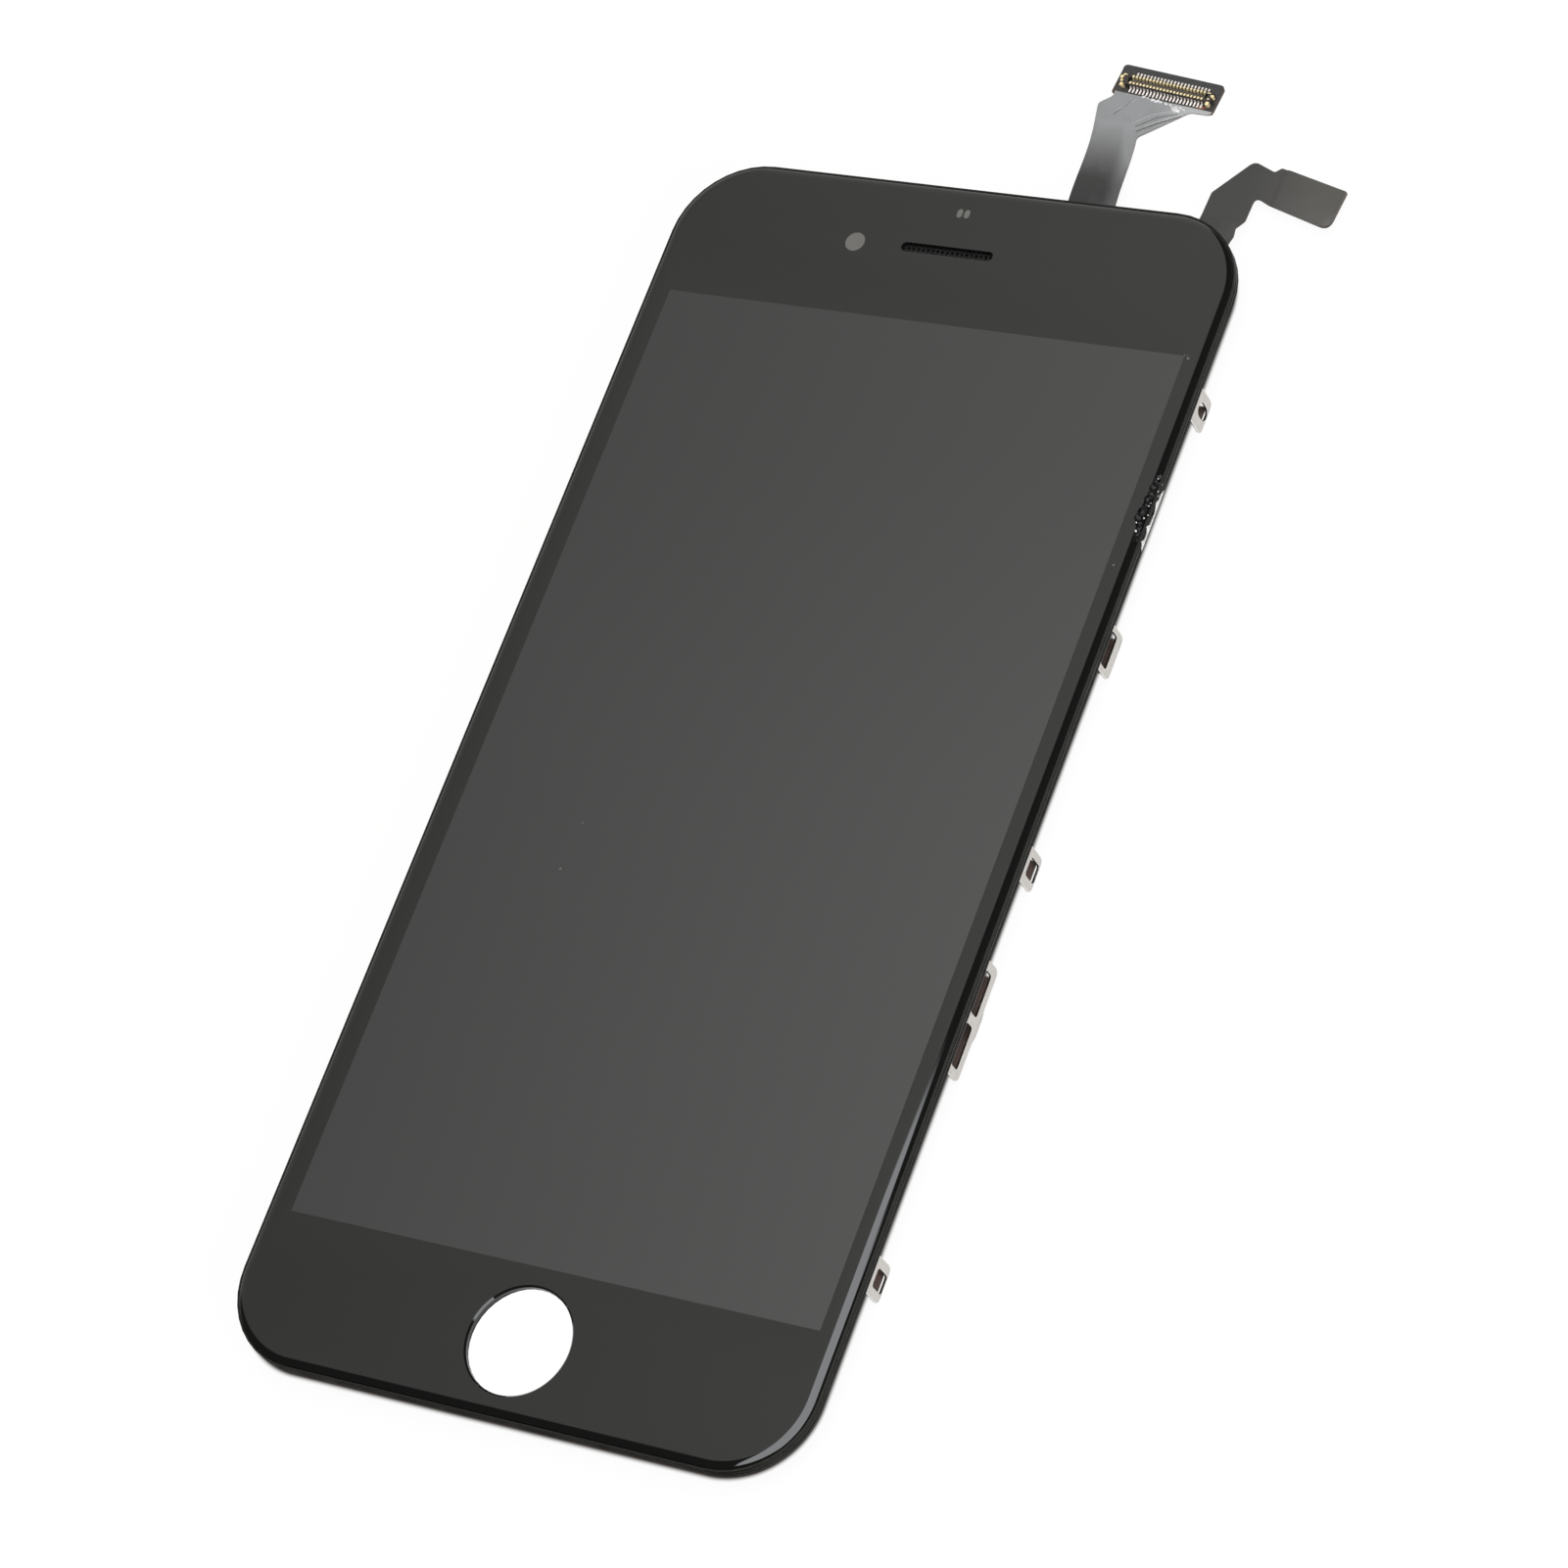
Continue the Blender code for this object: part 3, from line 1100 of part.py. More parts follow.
def touch_circuit():
    head = [from_corner(point) for point in TOUCH_HEAD]
    bond_left, bond_right = [PANEL_SIDE + x for x in TOUCH_BOND_EDGES]
    corners = [
        head[0],
        from_corner(TOUCH_SHOULDER),
        from_corner(TOUCH_NICK),
        from_corner(TOUCH_TIP),
        from_corner(TOUCH_ELBOW),
        from_corner(TOUCH_LEFT),
        (bond_left + TOUCH_TAPER, NECK_Y),
        (bond_left, BOND_SPREAD_Y),
        (bond_left, TOUCH_BOND_Y),
        (bond_right, TOUCH_BOND_Y),
        (bond_right, NECK_Y),
        from_corner(TOUCH_WAIST),
        from_corner(TOUCH_RIGHT),
        from_corner(TOUCH_STEP_IN),
        from_corner(TOUCH_STEP_OUT),
        from_corner(TOUCH_CROTCH),
        from_corner(TOUCH_HEEL),
        head[3],
    ]
    bond_z = FILTER_FRONT + LAYER_GAP + FILM / 2
    path = film_path(TOUCH_BOND_Y, bond_z, TOUCH_HEAD_Z, TOUCH_FALL, TOUCH_HEAD_SLOPE)
    film_circuit("touch_flex", path, corners, "dark_film")
    start = Matrix.Translation((0.0, PANEL_END + TOUCH_FALL[1], TOUCH_HEAD_Z))
    tilt = start @ Matrix.Rotation(math.atan(TOUCH_HEAD_SLOPE), 4, "X") @ start.inverted()
    front = TOUCH_HEAD_Z + FILM / 2 + LAYER_GAP
    stiffener = plate("touch_stiffener", [filleted(head, FILM_FILLET, 3)], front, front + STIFFENER, "dark_film")
    stiffener.matrix_world = tilt @ stiffener.matrix_world
    seat = TOUCH_HEAD_Z - FILM / 2 - LAYER_GAP
    middle = from_corner(TOUCH_HEAD_CENTRE)
    connector("touch_connector", middle, TOUCH_HEAD_ANGLE, seat, -1, TOUCH_PINS, False, tilt)


clear_scene()
cover_glass()
border_print()
frame_adhesive()
bezel_frame()
side_clips()
lower_tabs()
top_hooks()
inserts()
earpiece()
top_row_pieces()
lcd_cell()
backlight()
backlight_pan()
display_circuit()
touch_circuit()
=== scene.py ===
import math
import random

import bmesh
import bpy
from mathutils import Euler, Matrix, Vector
from mathutils.bvhtree import BVHTree
from mathutils.geometry import tessellate_polygon


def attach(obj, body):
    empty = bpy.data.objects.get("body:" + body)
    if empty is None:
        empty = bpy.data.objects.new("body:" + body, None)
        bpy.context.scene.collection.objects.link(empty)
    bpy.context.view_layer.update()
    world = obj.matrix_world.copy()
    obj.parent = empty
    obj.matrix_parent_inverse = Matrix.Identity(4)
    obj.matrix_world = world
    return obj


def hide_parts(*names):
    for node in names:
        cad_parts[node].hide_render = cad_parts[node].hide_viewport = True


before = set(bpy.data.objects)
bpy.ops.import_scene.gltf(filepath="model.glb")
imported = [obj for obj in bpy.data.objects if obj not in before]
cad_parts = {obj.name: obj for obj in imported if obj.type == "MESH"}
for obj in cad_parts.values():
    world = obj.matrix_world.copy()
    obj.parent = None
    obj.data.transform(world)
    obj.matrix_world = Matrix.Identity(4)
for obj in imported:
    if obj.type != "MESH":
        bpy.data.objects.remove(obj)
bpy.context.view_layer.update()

mm = 0.001
scene = bpy.context.scene


def say(words):
    print("[screen] " + words)


# another node's output is linked to the entry, anything else becomes its value
def feed(tree, entry, value):
    if isinstance(value, bpy.types.NodeSocket):
        tree.links.new(value, entry)
    elif entry.type == "RGBA":
        entry.default_value = (*value[:3], 1.0)
    else:
        entry.default_value = value


def addNode(tree, kind, values=None, **settings):
    node = tree.nodes.new("ShaderNode" + kind)
    for key, value in settings.items():
        setattr(node, key, value)
    for key, value in (values or {}).items():
        feed(tree, node.inputs[key], value)
    return node


def mathNode(tree, operation, first, second=None, clamp=False):
    values = {0: first} if second is None else {0: first, 1: second}
    return addNode(tree, "Math", values, operation=operation, use_clamp=clamp).outputs[0]


def plus(tree, first, second, clamp=False):
    return mathNode(tree, "ADD", first, second, clamp)


def minus(tree, first, second):
    return mathNode(tree, "SUBTRACT", first, second)


def times(tree, first, second):
    return mathNode(tree, "MULTIPLY", first, second)


def over(tree, first, second, clamp=False):
    return mathNode(tree, "DIVIDE", first, second, clamp)


def larger(tree, first, second):
    return mathNode(tree, "MAXIMUM", first, second)


def vectorNode(tree, operation, first, second, output="Vector"):
    return addNode(tree, "VectorMath", {0: first, 1: second}, operation=operation).outputs[output]


def ramp(tree, value, low, high, toLow=0.0, toHigh=1.0, smooth=True):
    limits = {"Value": value, "From Min": low, "From Max": high, "To Min": toLow, "To Max": toHigh}
    kind = "SMOOTHSTEP" if smooth else "LINEAR"
    return addNode(tree, "MapRange", limits, interpolation_type=kind).outputs["Result"]


def between(tree, value, low, high, soft):
    return times(tree, ramp(tree, value, low, low + soft), ramp(tree, value, high - soft, high, 1.0, 0.0))


def mixColour(tree, factor, first, second):
    node = addNode(tree, "Mix", data_type="RGBA")
    for label, value in (("Factor", factor), ("A", first), ("B", second)):
        feed(tree, [entry for entry in node.inputs if entry.name == label and entry.enabled][0], value)
    return [result for result in node.outputs if result.enabled][0]


def objectPlace(tree):
    return addNode(tree, "TexCoord").outputs["Object"]


def axes(tree, place=None):
    return addNode(tree, "SeparateXYZ", {0: place or objectPlace(tree)}).outputs


def addNoise(tree, place, scale, detail, rough, distortion=0.0):
    values = {"Vector": place, "Scale": scale, "Detail": detail, "Roughness": rough, "Distortion": distortion}
    return addNode(tree, "TexNoise", values).outputs[0]


def newGroup(name, inputs, outputs):
    tree = bpy.data.node_groups.new(name, "ShaderNodeTree")
    for label, kind, value in inputs:
        socket = tree.interface.new_socket(label, in_out="INPUT", socket_type="NodeSocket" + kind)
        socket.default_value = value
    for label, kind in outputs:
        tree.interface.new_socket(label, in_out="OUTPUT", socket_type="NodeSocket" + kind)
    return tree, tree.nodes.new("NodeGroupInput").outputs


def putOut(tree, results):
    last = tree.nodes.new("NodeGroupOutput")
    for label, value in results.items():
        feed(tree, last.inputs[label], value)
    return tree


def useGroup(tree, group, values):
    node = tree.nodes.new("ShaderNodeGroup")
    node.node_tree = group
    for key, value in values.items():
        feed(tree, node.inputs[key], value)
    return node.outputs


def fromLowToHigh(tree, value, given):
    return plus(tree, times(tree, value, minus(tree, given["High"], given["Low"])), given["Low"])


def makeFineGrain():
    tree, given = newGroup(
        "fineGrain",
        [("Scale", "Float", 4000.0), ("Contrast", "Float", 0.5)],
        [("Value", "Float"), ("Height", "Float")],
    )
    place = objectPlace(tree)
    coarse = addNoise(tree, place, given["Scale"], 3.0, 0.6)
    fine = addNoise(tree, place, times(tree, given["Scale"], 3.1), 2.0, 0.5)
    spread = times(tree, minus(tree, coarse, 0.5), given["Contrast"])
    height = plus(tree, coarse, times(tree, fine, 0.5))
    return putOut(tree, {"Value": plus(tree, spread, 0.5, clamp=True), "Height": height})


def makeDustSpecks():
    tree, given = newGroup(
        "dustSpecks",
        [("Scale", "Float", 300.0), ("Size", "Float", 0.05), ("Share", "Float", 0.1)],
        [("Mask", "Float")],
    )
    cells = addNode(tree, "TexVoronoi", {"Vector": objectPlace(tree), "Scale": given["Scale"]}, feature="F1").outputs
    chance, size, _ = addNode(tree, "SeparateColor", {0: cells["Color"]}).outputs
    kept = mathNode(tree, "LESS_THAN", chance, given["Share"])
    near = mathNode(tree, "LESS_THAN", cells["Distance"], times(tree, given["Size"], size))
    return putOut(tree, {"Mask": times(tree, kept, near)})


def makeSpeckSpot():
    tree, given = newGroup(
        "speckSpot",
        [("Centre", "Vector", (0.0, 0.0, 0.0)), ("Size", "Float", 0.0001)],
        [("Mask", "Float")],
    )
    gap = vectorNode(tree, "DISTANCE", objectPlace(tree), given["Centre"], "Value")
    return putOut(tree, {"Mask": ramp(tree, over(tree, gap, given["Size"]), 0.5, 1.0, 1.0, 0.0)})


def makeDrawnLines():
    tree, given = newGroup(
        "drawnLines",
        [("Squeeze", "Vector", (1.0, 1.0, 1.0)), ("Scale", "Float", 2000.0), ("Low", "Float", 0.2),
         ("High", "Float", 0.4)],
        [("Roughness", "Float"), ("Value", "Float"), ("Height", "Float")],
    )
    squeezed = vectorNode(tree, "MULTIPLY", objectPlace(tree), given["Squeeze"])
    lines = addNoise(tree, squeezed, given["Scale"], 4.0, 0.65)
    value = ramp(tree, lines, 0.3, 0.7)
    return putOut(tree, {"Roughness": fromLowToHigh(tree, value, given), "Value": value, "Height": lines})


def makeSmears():
    tree, given = newGroup(
        "smears",
        [("Scale", "Float", 60.0), ("Low", "Float", 0.02), ("High", "Float", 0.06)],
        [("Roughness", "Float"), ("Value", "Float")],
    )
    cloud = addNoise(tree, objectPlace(tree), given["Scale"], 2.0, 0.5, 0.6)
    value = ramp(tree, cloud, 0.35, 0.7)
    return putOut(tree, {"Roughness": fromLowToHigh(tree, value, given), "Value": value})


# softened edges carry the attribute edgeFace, and are lighter where they are worn; the lightening is also a painted
# edge highlight
def makeEdgeTone():
    tree, given = newGroup(
        "edgeWearAndHighlight",
        [("Color", "Color", (0.5, 0.5, 0.5, 1.0)), ("Edge Color", "Color", (0.8, 0.8, 0.8, 1.0)),
         ("Amount", "Float", 0.8)],
        [("Color", "Color")],
    )
    edge = addNode(tree, "Attribute", attribute_name="edgeFace").outputs["Fac"]
    worn = ramp(tree, addNoise(tree, objectPlace(tree), 900.0, 2.0, 0.5), 0.3, 0.6, 0.35, 1.0)
    mask = times(tree, times(tree, edge, worn), given["Amount"])
    return putOut(tree, {"Color": mixColour(tree, mask, given["Color"], given["Edge Color"])})


def makeCreaseLine():
    tree, given = newGroup(
        "creaseLine",
        [("Start", "Vector", (0.0, 0.0, 0.0)), ("End", "Vector", (0.01, 0.0, 0.0)), ("Width", "Float", 0.0002)],
        [("Mask", "Float")],
    )
    flat = vectorNode(tree, "MULTIPLY", objectPlace(tree), (1.0, 1.0, 0.0))
    here = vectorNode(tree, "SUBTRACT", flat, given["Start"])
    whole = vectorNode(tree, "SUBTRACT", given["End"], given["Start"])
    along, length = [vectorNode(tree, "DOT_PRODUCT", first, whole, "Value") for first in (here, whole)]
    share = over(tree, along, length, clamp=True)
    foot = addNode(tree, "VectorMath", {0: whole, "Scale": share}, operation="SCALE").outputs[0]
    gap = vectorNode(tree, "DISTANCE", here, foot, "Value")
    return putOut(tree, {"Mask": ramp(tree, over(tree, gap, given["Width"]), 0.0, 1.0, 1.0, 0.0)})


fineGrain = makeFineGrain()
dustSpecks = makeDustSpecks()
speckSpot = makeSpeckSpot()
drawnLines = makeDrawnLines()
smears = makeSmears()
edgeWearAndHighlight = makeEdgeTone()
creaseLine = makeCreaseLine()
say("shared effects made")


def newFinish(name, **sockets):
    material = bpy.data.materials.new(name)
    material.use_nodes = True
    tree = material.node_tree
    shader = tree.nodes["Principled BSDF"]
    labels = {"rough": "Roughness", "metal": "Metallic", "ior": "IOR", "level": "Specular IOR Level"}
    for key, value in sockets.items():
        shader.inputs[labels[key]].default_value = value
    return material, tree, shader


def paint(tree, shader, colour, rough, height=None, strength=0.0, depth=0.0):
    feed(tree, shader.inputs["Base Color"], colour)
    feed(tree, shader.inputs["Roughness"], rough)
    if height is not None:
        bump = addNode(tree, "Bump", {"Height": height, "Strength": strength, "Distance": depth * mm})
        feed(tree, shader.inputs["Normal"], bump.outputs[0])


# dust all over and the few specks of the photograph, each as across, along, radius
def paintDusty(tree, shader, colour, rough, values):
    scale, share = values["dustField"]
    specks = useGroup(tree, dustSpecks, {"Scale": scale, "Size": 0.025, "Share": share})["Mask"]
    for x, y, size in values["spots"]:
        spot = useGroup(tree, speckSpot, {"Centre": (x * mm, y * mm, 0.0), "Size": size * mm})
        specks = larger(tree, specks, spot["Mask"])
    half = times(tree, specks, 0.5)
    paint(tree, shader, mixColour(tree, half, colour, values["dust"]), plus(tree, rough, half))


printedGlass = {
    "ink": (0.0044, 0.0044, 0.0042),
    "dust": (0.30, 0.30, 0.29),
    "dustField": (260.0, 0.004),
    "spots": ((30.20, 28.30, 0.13), (29.91, 51.44, 0.17), (29.72, 51.78, 0.08), (29.42, 51.74, 0.08)),
    "ior": 1.5,
    "haze": {"Scale": 55.0, "Low": 0.012, "High": 0.035},
}


def makeInkGlass(values):
    material, tree, shader = newFinish("inkUnderGlass", ior=values["ior"])
    haze = useGroup(tree, smears, values["haze"])
    paintDusty(tree, shader, values["ink"], haze["Roughness"], values)
    return material


# painted light: the unlit display is painted lighter towards its near end and its right side
viewArea = {
    "farLeft": (0.0300, 0.0303, 0.0312),
    "farRight": (0.0425, 0.0430, 0.0438),
    "nearLeft": (0.0345, 0.0349, 0.0358),
    "nearRight": (0.0570, 0.0575, 0.0588),
    "cloud": (0.10, 0.10, 0.10),
    "cloudShare": 0.015,
    "haze": {"Scale": 30.0, "Low": 0.012, "High": 0.035},
    "dust": (0.24, 0.24, 0.24),
    "dustField": (240.0, 0.003),
    "spots": ((-15.18, -12.75, 0.14), (-14.76, -7.60, 0.10)),
    "across": (-32.175 * mm, 32.175 * mm),
    "along": (-5.2 * mm, 49.4 * mm),
    "ior": 1.5,
}


def makeViewGlass(values):
    material, tree, shader = newFinish("unlitDisplayUnderGlass", ior=values["ior"])
    x, y, _ = axes(tree)
    across = ramp(tree, x, *values["across"], smooth=False)
    near = ramp(tree, y, *values["along"], 1.0, 0.0)
    farTone = mixColour(tree, across, values["farLeft"], values["farRight"])
    nearTone = mixColour(tree, across, values["nearLeft"], values["nearRight"])
    clouds = useGroup(tree, smears, values["haze"])
    cloudy = times(tree, clouds["Value"], values["cloudShare"])
    tone = mixColour(tree, cloudy, mixColour(tree, near, farTone, nearTone), values["cloud"])
    paintDusty(tree, shader, tone, clouds["Roughness"], values)
    return material


chippedEdge = {
    "dark": (0.0035, 0.0035, 0.0035),
    "grey": (0.014, 0.0145, 0.0145),
    "spark": (0.92, 0.93, 0.93),
    "paintedGlintSpecks": {"Scale": 3000.0, "Size": 0.50, "Share": 0.12},
}


def makeBrokenGlass(values):
    material, tree, shader = newFinish("brokenGlass", ior=1.5, level=0.14)
    grain = useGroup(tree, fineGrain, {"Scale": 2600.0, "Contrast": 2.6})
    tone = mixColour(tree, ramp(tree, grain["Value"], 0.35, 0.75), values["dark"], values["grey"])
    # painted glints: white specks scattered over the broken faces
    paintedGlintSpecks = useGroup(tree, dustSpecks, values["paintedGlintSpecks"])
    paint(tree, shader, mixColour(tree, paintedGlintSpecks["Mask"], tone, values["spark"]),
          ramp(tree, grain["Value"], 0.0, 1.0, 0.12, 0.4), grain["Height"], 0.5, 0.02)
    return material


def makeBlackPlastic(name, lines=(), level=0.2):
    material, tree, shader = newFinish(name, ior=1.5, level=level)
    grain = useGroup(tree, fineGrain, {"Scale": 7000.0, "Contrast": 1.4})
    tone = mixColour(tree, grain["Value"], (0.0060, 0.0060, 0.0058), (0.0125, 0.0124, 0.0118))
    z = axes(tree)[2] if lines else None
    # painted highlight and painted shade in bands across the rim, by height
    for height, half, colour, amount in lines:
        gap = mathNode(tree, "ABSOLUTE", minus(tree, z, height * mm))
        tone = mixColour(tree, ramp(tree, gap, 0.4 * half * mm, half * mm, amount, 0.0), tone, colour)
    edge = useGroup(tree, edgeWearAndHighlight, {"Color": tone, "Edge Color": (0.040, 0.040, 0.037), "Amount": 0.8})
    worn = useGroup(tree, smears, {"Scale": 260.0, "Low": 0.30, "High": 0.48})
    paint(tree, shader, edge["Color"], worn["Roughness"], grain["Height"], 0.12, 0.008)
    return material


# height on the rim, half width, colour, amount: painted highlights on the crests and painted shade in the moulded
# grooves
paintedRimLightAndShade = (
    (-0.28, 0.10, (0.024, 0.024, 0.022), 1.0),
    (-0.42, 0.06, (0.004, 0.004, 0.004), 0.8),
    (-0.55, 0.08, (0.034, 0.034, 0.032), 0.9),
    (-0.70, 0.11, (0.001, 0.001, 0.001), 1.0),
    (-0.92, 0.13, (0.023, 0.023, 0.021), 0.9),
    (-1.15, 0.13, (0.001, 0.001, 0.001), 1.0),
    (-1.34, 0.09, (0.029, 0.027, 0.025), 0.8),
)


# squeeze runs the drawn lines along one side, low and high are the roughness they give
def makeSteel(name, colour, edge, squeeze, low, high):
    material, tree, shader = newFinish(name, metal=1.0)
    lines = useGroup(tree, drawnLines, {"Squeeze": squeeze, "Scale": 5200.0, "Low": low, "High": high})
    darker = tuple(0.82 * channel for channel in colour)
    tone = mixColour(tree, lines["Value"], darker, colour)
    rim = useGroup(tree, edgeWearAndHighlight, {"Color": tone, "Edge Color": edge, "Amount": 0.9})
    paint(tree, shader, rim["Color"], lines["Roughness"], lines["Height"], 0.25, 0.006)
    return material


# two tones, the roughness from low to high, the grain that mixes them, and its relief
def makePlain(name, first, second, low, high, scale=5000.0, contrast=1.2, bump=0.15, depth=0.01, **sockets):
    material, tree, shader = newFinish(name, **sockets)
    grain = useGroup(tree, fineGrain, {"Scale": scale, "Contrast": contrast})
    height = grain["Height"] if bump else None
    paint(tree, shader, mixColour(tree, grain["Value"], first, second),
          ramp(tree, grain["Value"], 0.0, 1.0, low, high), height, bump, depth)
    return material


# materials of the whole assembly, by the finish they stand for
ink = makeInkGlass(printedGlass)
viewGlass = makeViewGlass(viewArea)
brokenGlass = makeBrokenGlass(chippedEdge)
blackPlastic = makeBlackPlastic("blackMouldedPlastic")
rimPlastic = makeBlackPlastic("grooveMouldedRim", paintedRimLightAndShade, 0.05)
whitened = makePlain("whitenedBreak", (0.80, 0.80, 0.79), (0.98, 0.98, 0.97), 0.45, 0.8, 6000.0, 2.2, 0.5, 0.02,
                     ior=1.5)
splinterGlintWhite = makePlain("glassSplinterPaintedGlint", (0.86, 0.88, 0.88), (0.97, 0.98, 0.98), 0.15, 0.35, 5000.0, 1.0, 0.2, ior=1.5)
clipSteel = makeSteel("stampedSteel", (0.67, 0.645, 0.61), (0.95, 0.935, 0.91), (0.35, 0.35, 1.0), 0.24, 0.44)
# painted shade: a dark steel for the clips' window walls
shadedWindowSteel = makeSteel("windowWallPaintedShade", (0.10, 0.085, 0.08), (0.16, 0.14, 0.13), (1.0, 1.0, 1.0), 0.35, 0.55)
panSteel = makeSteel("rolledSteel", (0.56, 0.56, 0.55), (0.80, 0.80, 0.79), (1.0, 0.04, 1.0), 0.22, 0.40)
brass = makeSteel("turnedBrass", (0.72, 0.52, 0.24), (0.92, 0.76, 0.45), (1.0, 1.0, 0.1), 0.2, 0.38)
goldPlate = makePlain("goldPlate", (0.98, 0.76, 0.36), (1.0, 0.92, 0.64), 0.16, 0.34, 6000.0, 1.6, 0.2, metal=0.6)
tinSolder = makePlain("tinSolder", (0.90, 0.79, 0.73), (0.99, 0.94, 0.91), 0.20, 0.42, 6000.0, 1.6, 0.2, metal=0.35)
foam = makePlain("blackFoam", (0.006, 0.006, 0.006), (0.022, 0.022, 0.021), 0.7, 0.95, 5200.0, 1.8, 0.6)
meshBlack = makePlain("blackedMesh", (0.003, 0.003, 0.003), (0.010, 0.010, 0.010), 0.45, 0.7, 6000.0, 1.4, 0.2,
                      level=0.2)
whitePlastic = makePlain("whiteMouldedPlastic", (0.72, 0.72, 0.70), (0.84, 0.84, 0.82), 0.35, 0.5)
ledYellow = makePlain("lampStripYellow", (0.70, 0.62, 0.20), (0.85, 0.82, 0.62), 0.3, 0.5, 2400.0)
diffuserWhite = makePlain("opticalFilm", (0.70, 0.71, 0.72), (0.80, 0.81, 0.82), 0.25, 0.45, 4200.0, 0.8, 0.05)
guideClear = makePlain("lightGuide", (0.78, 0.80, 0.80), (0.86, 0.88, 0.88), 0.08, 0.2, 3000.0, 0.8, 0.04)
cellDark = makePlain("liquidCrystalCell", (0.018, 0.020, 0.020), (0.028, 0.030, 0.030), 0.05, 0.12, 3000.0, 0.8, 0.0)
polarizerDark = makePlain("polarizerFilm", (0.014, 0.015, 0.017), (0.022, 0.023, 0.026), 0.15, 0.3, 3000.0, 0.8, 0.03)
# painted shade: the grey of the window plugs
shadedPlugGrey = makePlain("windowPlugPaintedShade", (0.152, 0.150, 0.141), (0.166, 0.164, 0.155), 0.03, 0.08, 3000.0, 0.8, 0.0,
                       ior=1.5)
silicon = makePlain("driverSilicon", (0.05, 0.052, 0.06), (0.09, 0.092, 0.10), 0.12, 0.25, 3000.0, 1.0, 0.03,
                    metal=0.3)
inkDark = makePlain("printedInk", (0.006, 0.006, 0.006), (0.012, 0.012, 0.012), 0.45, 0.65)
ringGrey = makePlain("cameraRingPlastic", (0.17, 0.165, 0.16), (0.22, 0.215, 0.205), 0.3, 0.5, 5000.0, 0.8, 0.05)
filmEdge = makePlain("filmCutEdge", (0.040, 0.021, 0.015), (0.095, 0.044, 0.031), 0.4, 0.65, 5000.0, 1.8, 0.2)
stiffenerBrown = makePlain("stiffenerBoard", (0.035, 0.022, 0.014), (0.065, 0.040, 0.026), 0.35, 0.55, 3200.0, 1.2,
                           0.1)
connectorBlack = makePlain("connectorPlastic", (0.010, 0.008, 0.007), (0.028, 0.021, 0.018), 0.28, 0.45, 6000.0, 1.5,
                           0.1)
connectorBrown = makePlain("connectorIsland", (0.050, 0.040, 0.033), (0.085, 0.068, 0.056), 0.3, 0.5, 6000.0, 1.2,
                           0.1)
fluxResidue = makePlain("fluxResidue", (0.70, 0.71, 0.74), (0.90, 0.90, 0.92), 0.18, 0.4, 5000.0, 1.6, 0.2, ior=1.45)
copperLand = makePlain("copperLand", (0.28, 0.095, 0.055), (0.48, 0.19, 0.12), 0.3, 0.5, 6000.0, 1.5, 0.1, metal=0.7)


# creases as start, end and width in millimetres
shieldFilm = {
    "dark": (0.026, 0.0262, 0.0265),
    "middle": (0.110, 0.112, 0.116),
    "light": (0.300, 0.304, 0.312),
    "flareTone": (0.56, 0.565, 0.57),
    "creaseHighlightTone": (0.40, 0.405, 0.415),
    "bend": (70.5 * mm, 80.4 * mm),
    "curl": (26.2 * mm, 28.0 * mm),
    "flare": (14.2 * mm, 18.2 * mm),
    # painted shade along the creases' hollows and painted highlights along their ridges
    "creaseShadeLines": (
        ((9.73, 80.37), (11.14, 82.00), 0.11),
        ((12.67, 79.20), (14.50, 80.40), 0.12),
        ((14.50, 80.40), (16.60, 81.10), 0.12),
        ((12.95, 78.60), (14.80, 79.75), 0.16),
        ((14.80, 79.75), (17.20, 80.85), 0.16),
    ),
    "creaseHighlightLines": (
        ((10.00, 80.95), (11.60, 82.35), 0.13),
        ((12.10, 79.60), (14.10, 80.85), 0.16),
        ((14.10, 80.85), (16.20, 81.45), 0.14),
        ((13.60, 79.40), (16.00, 80.60), 0.12),
    ),
}


def creaseMask(tree, creases):
    total = 0.0
    for (x0, y0), (x1, y1), width in creases:
        ends = {"Start": (x0 * mm, y0 * mm, 0.0), "End": (x1 * mm, y1 * mm, 0.0), "Width": width * mm}
        total = plus(tree, useGroup(tree, creaseLine, ends)["Mask"], total, clamp=True)
    return total


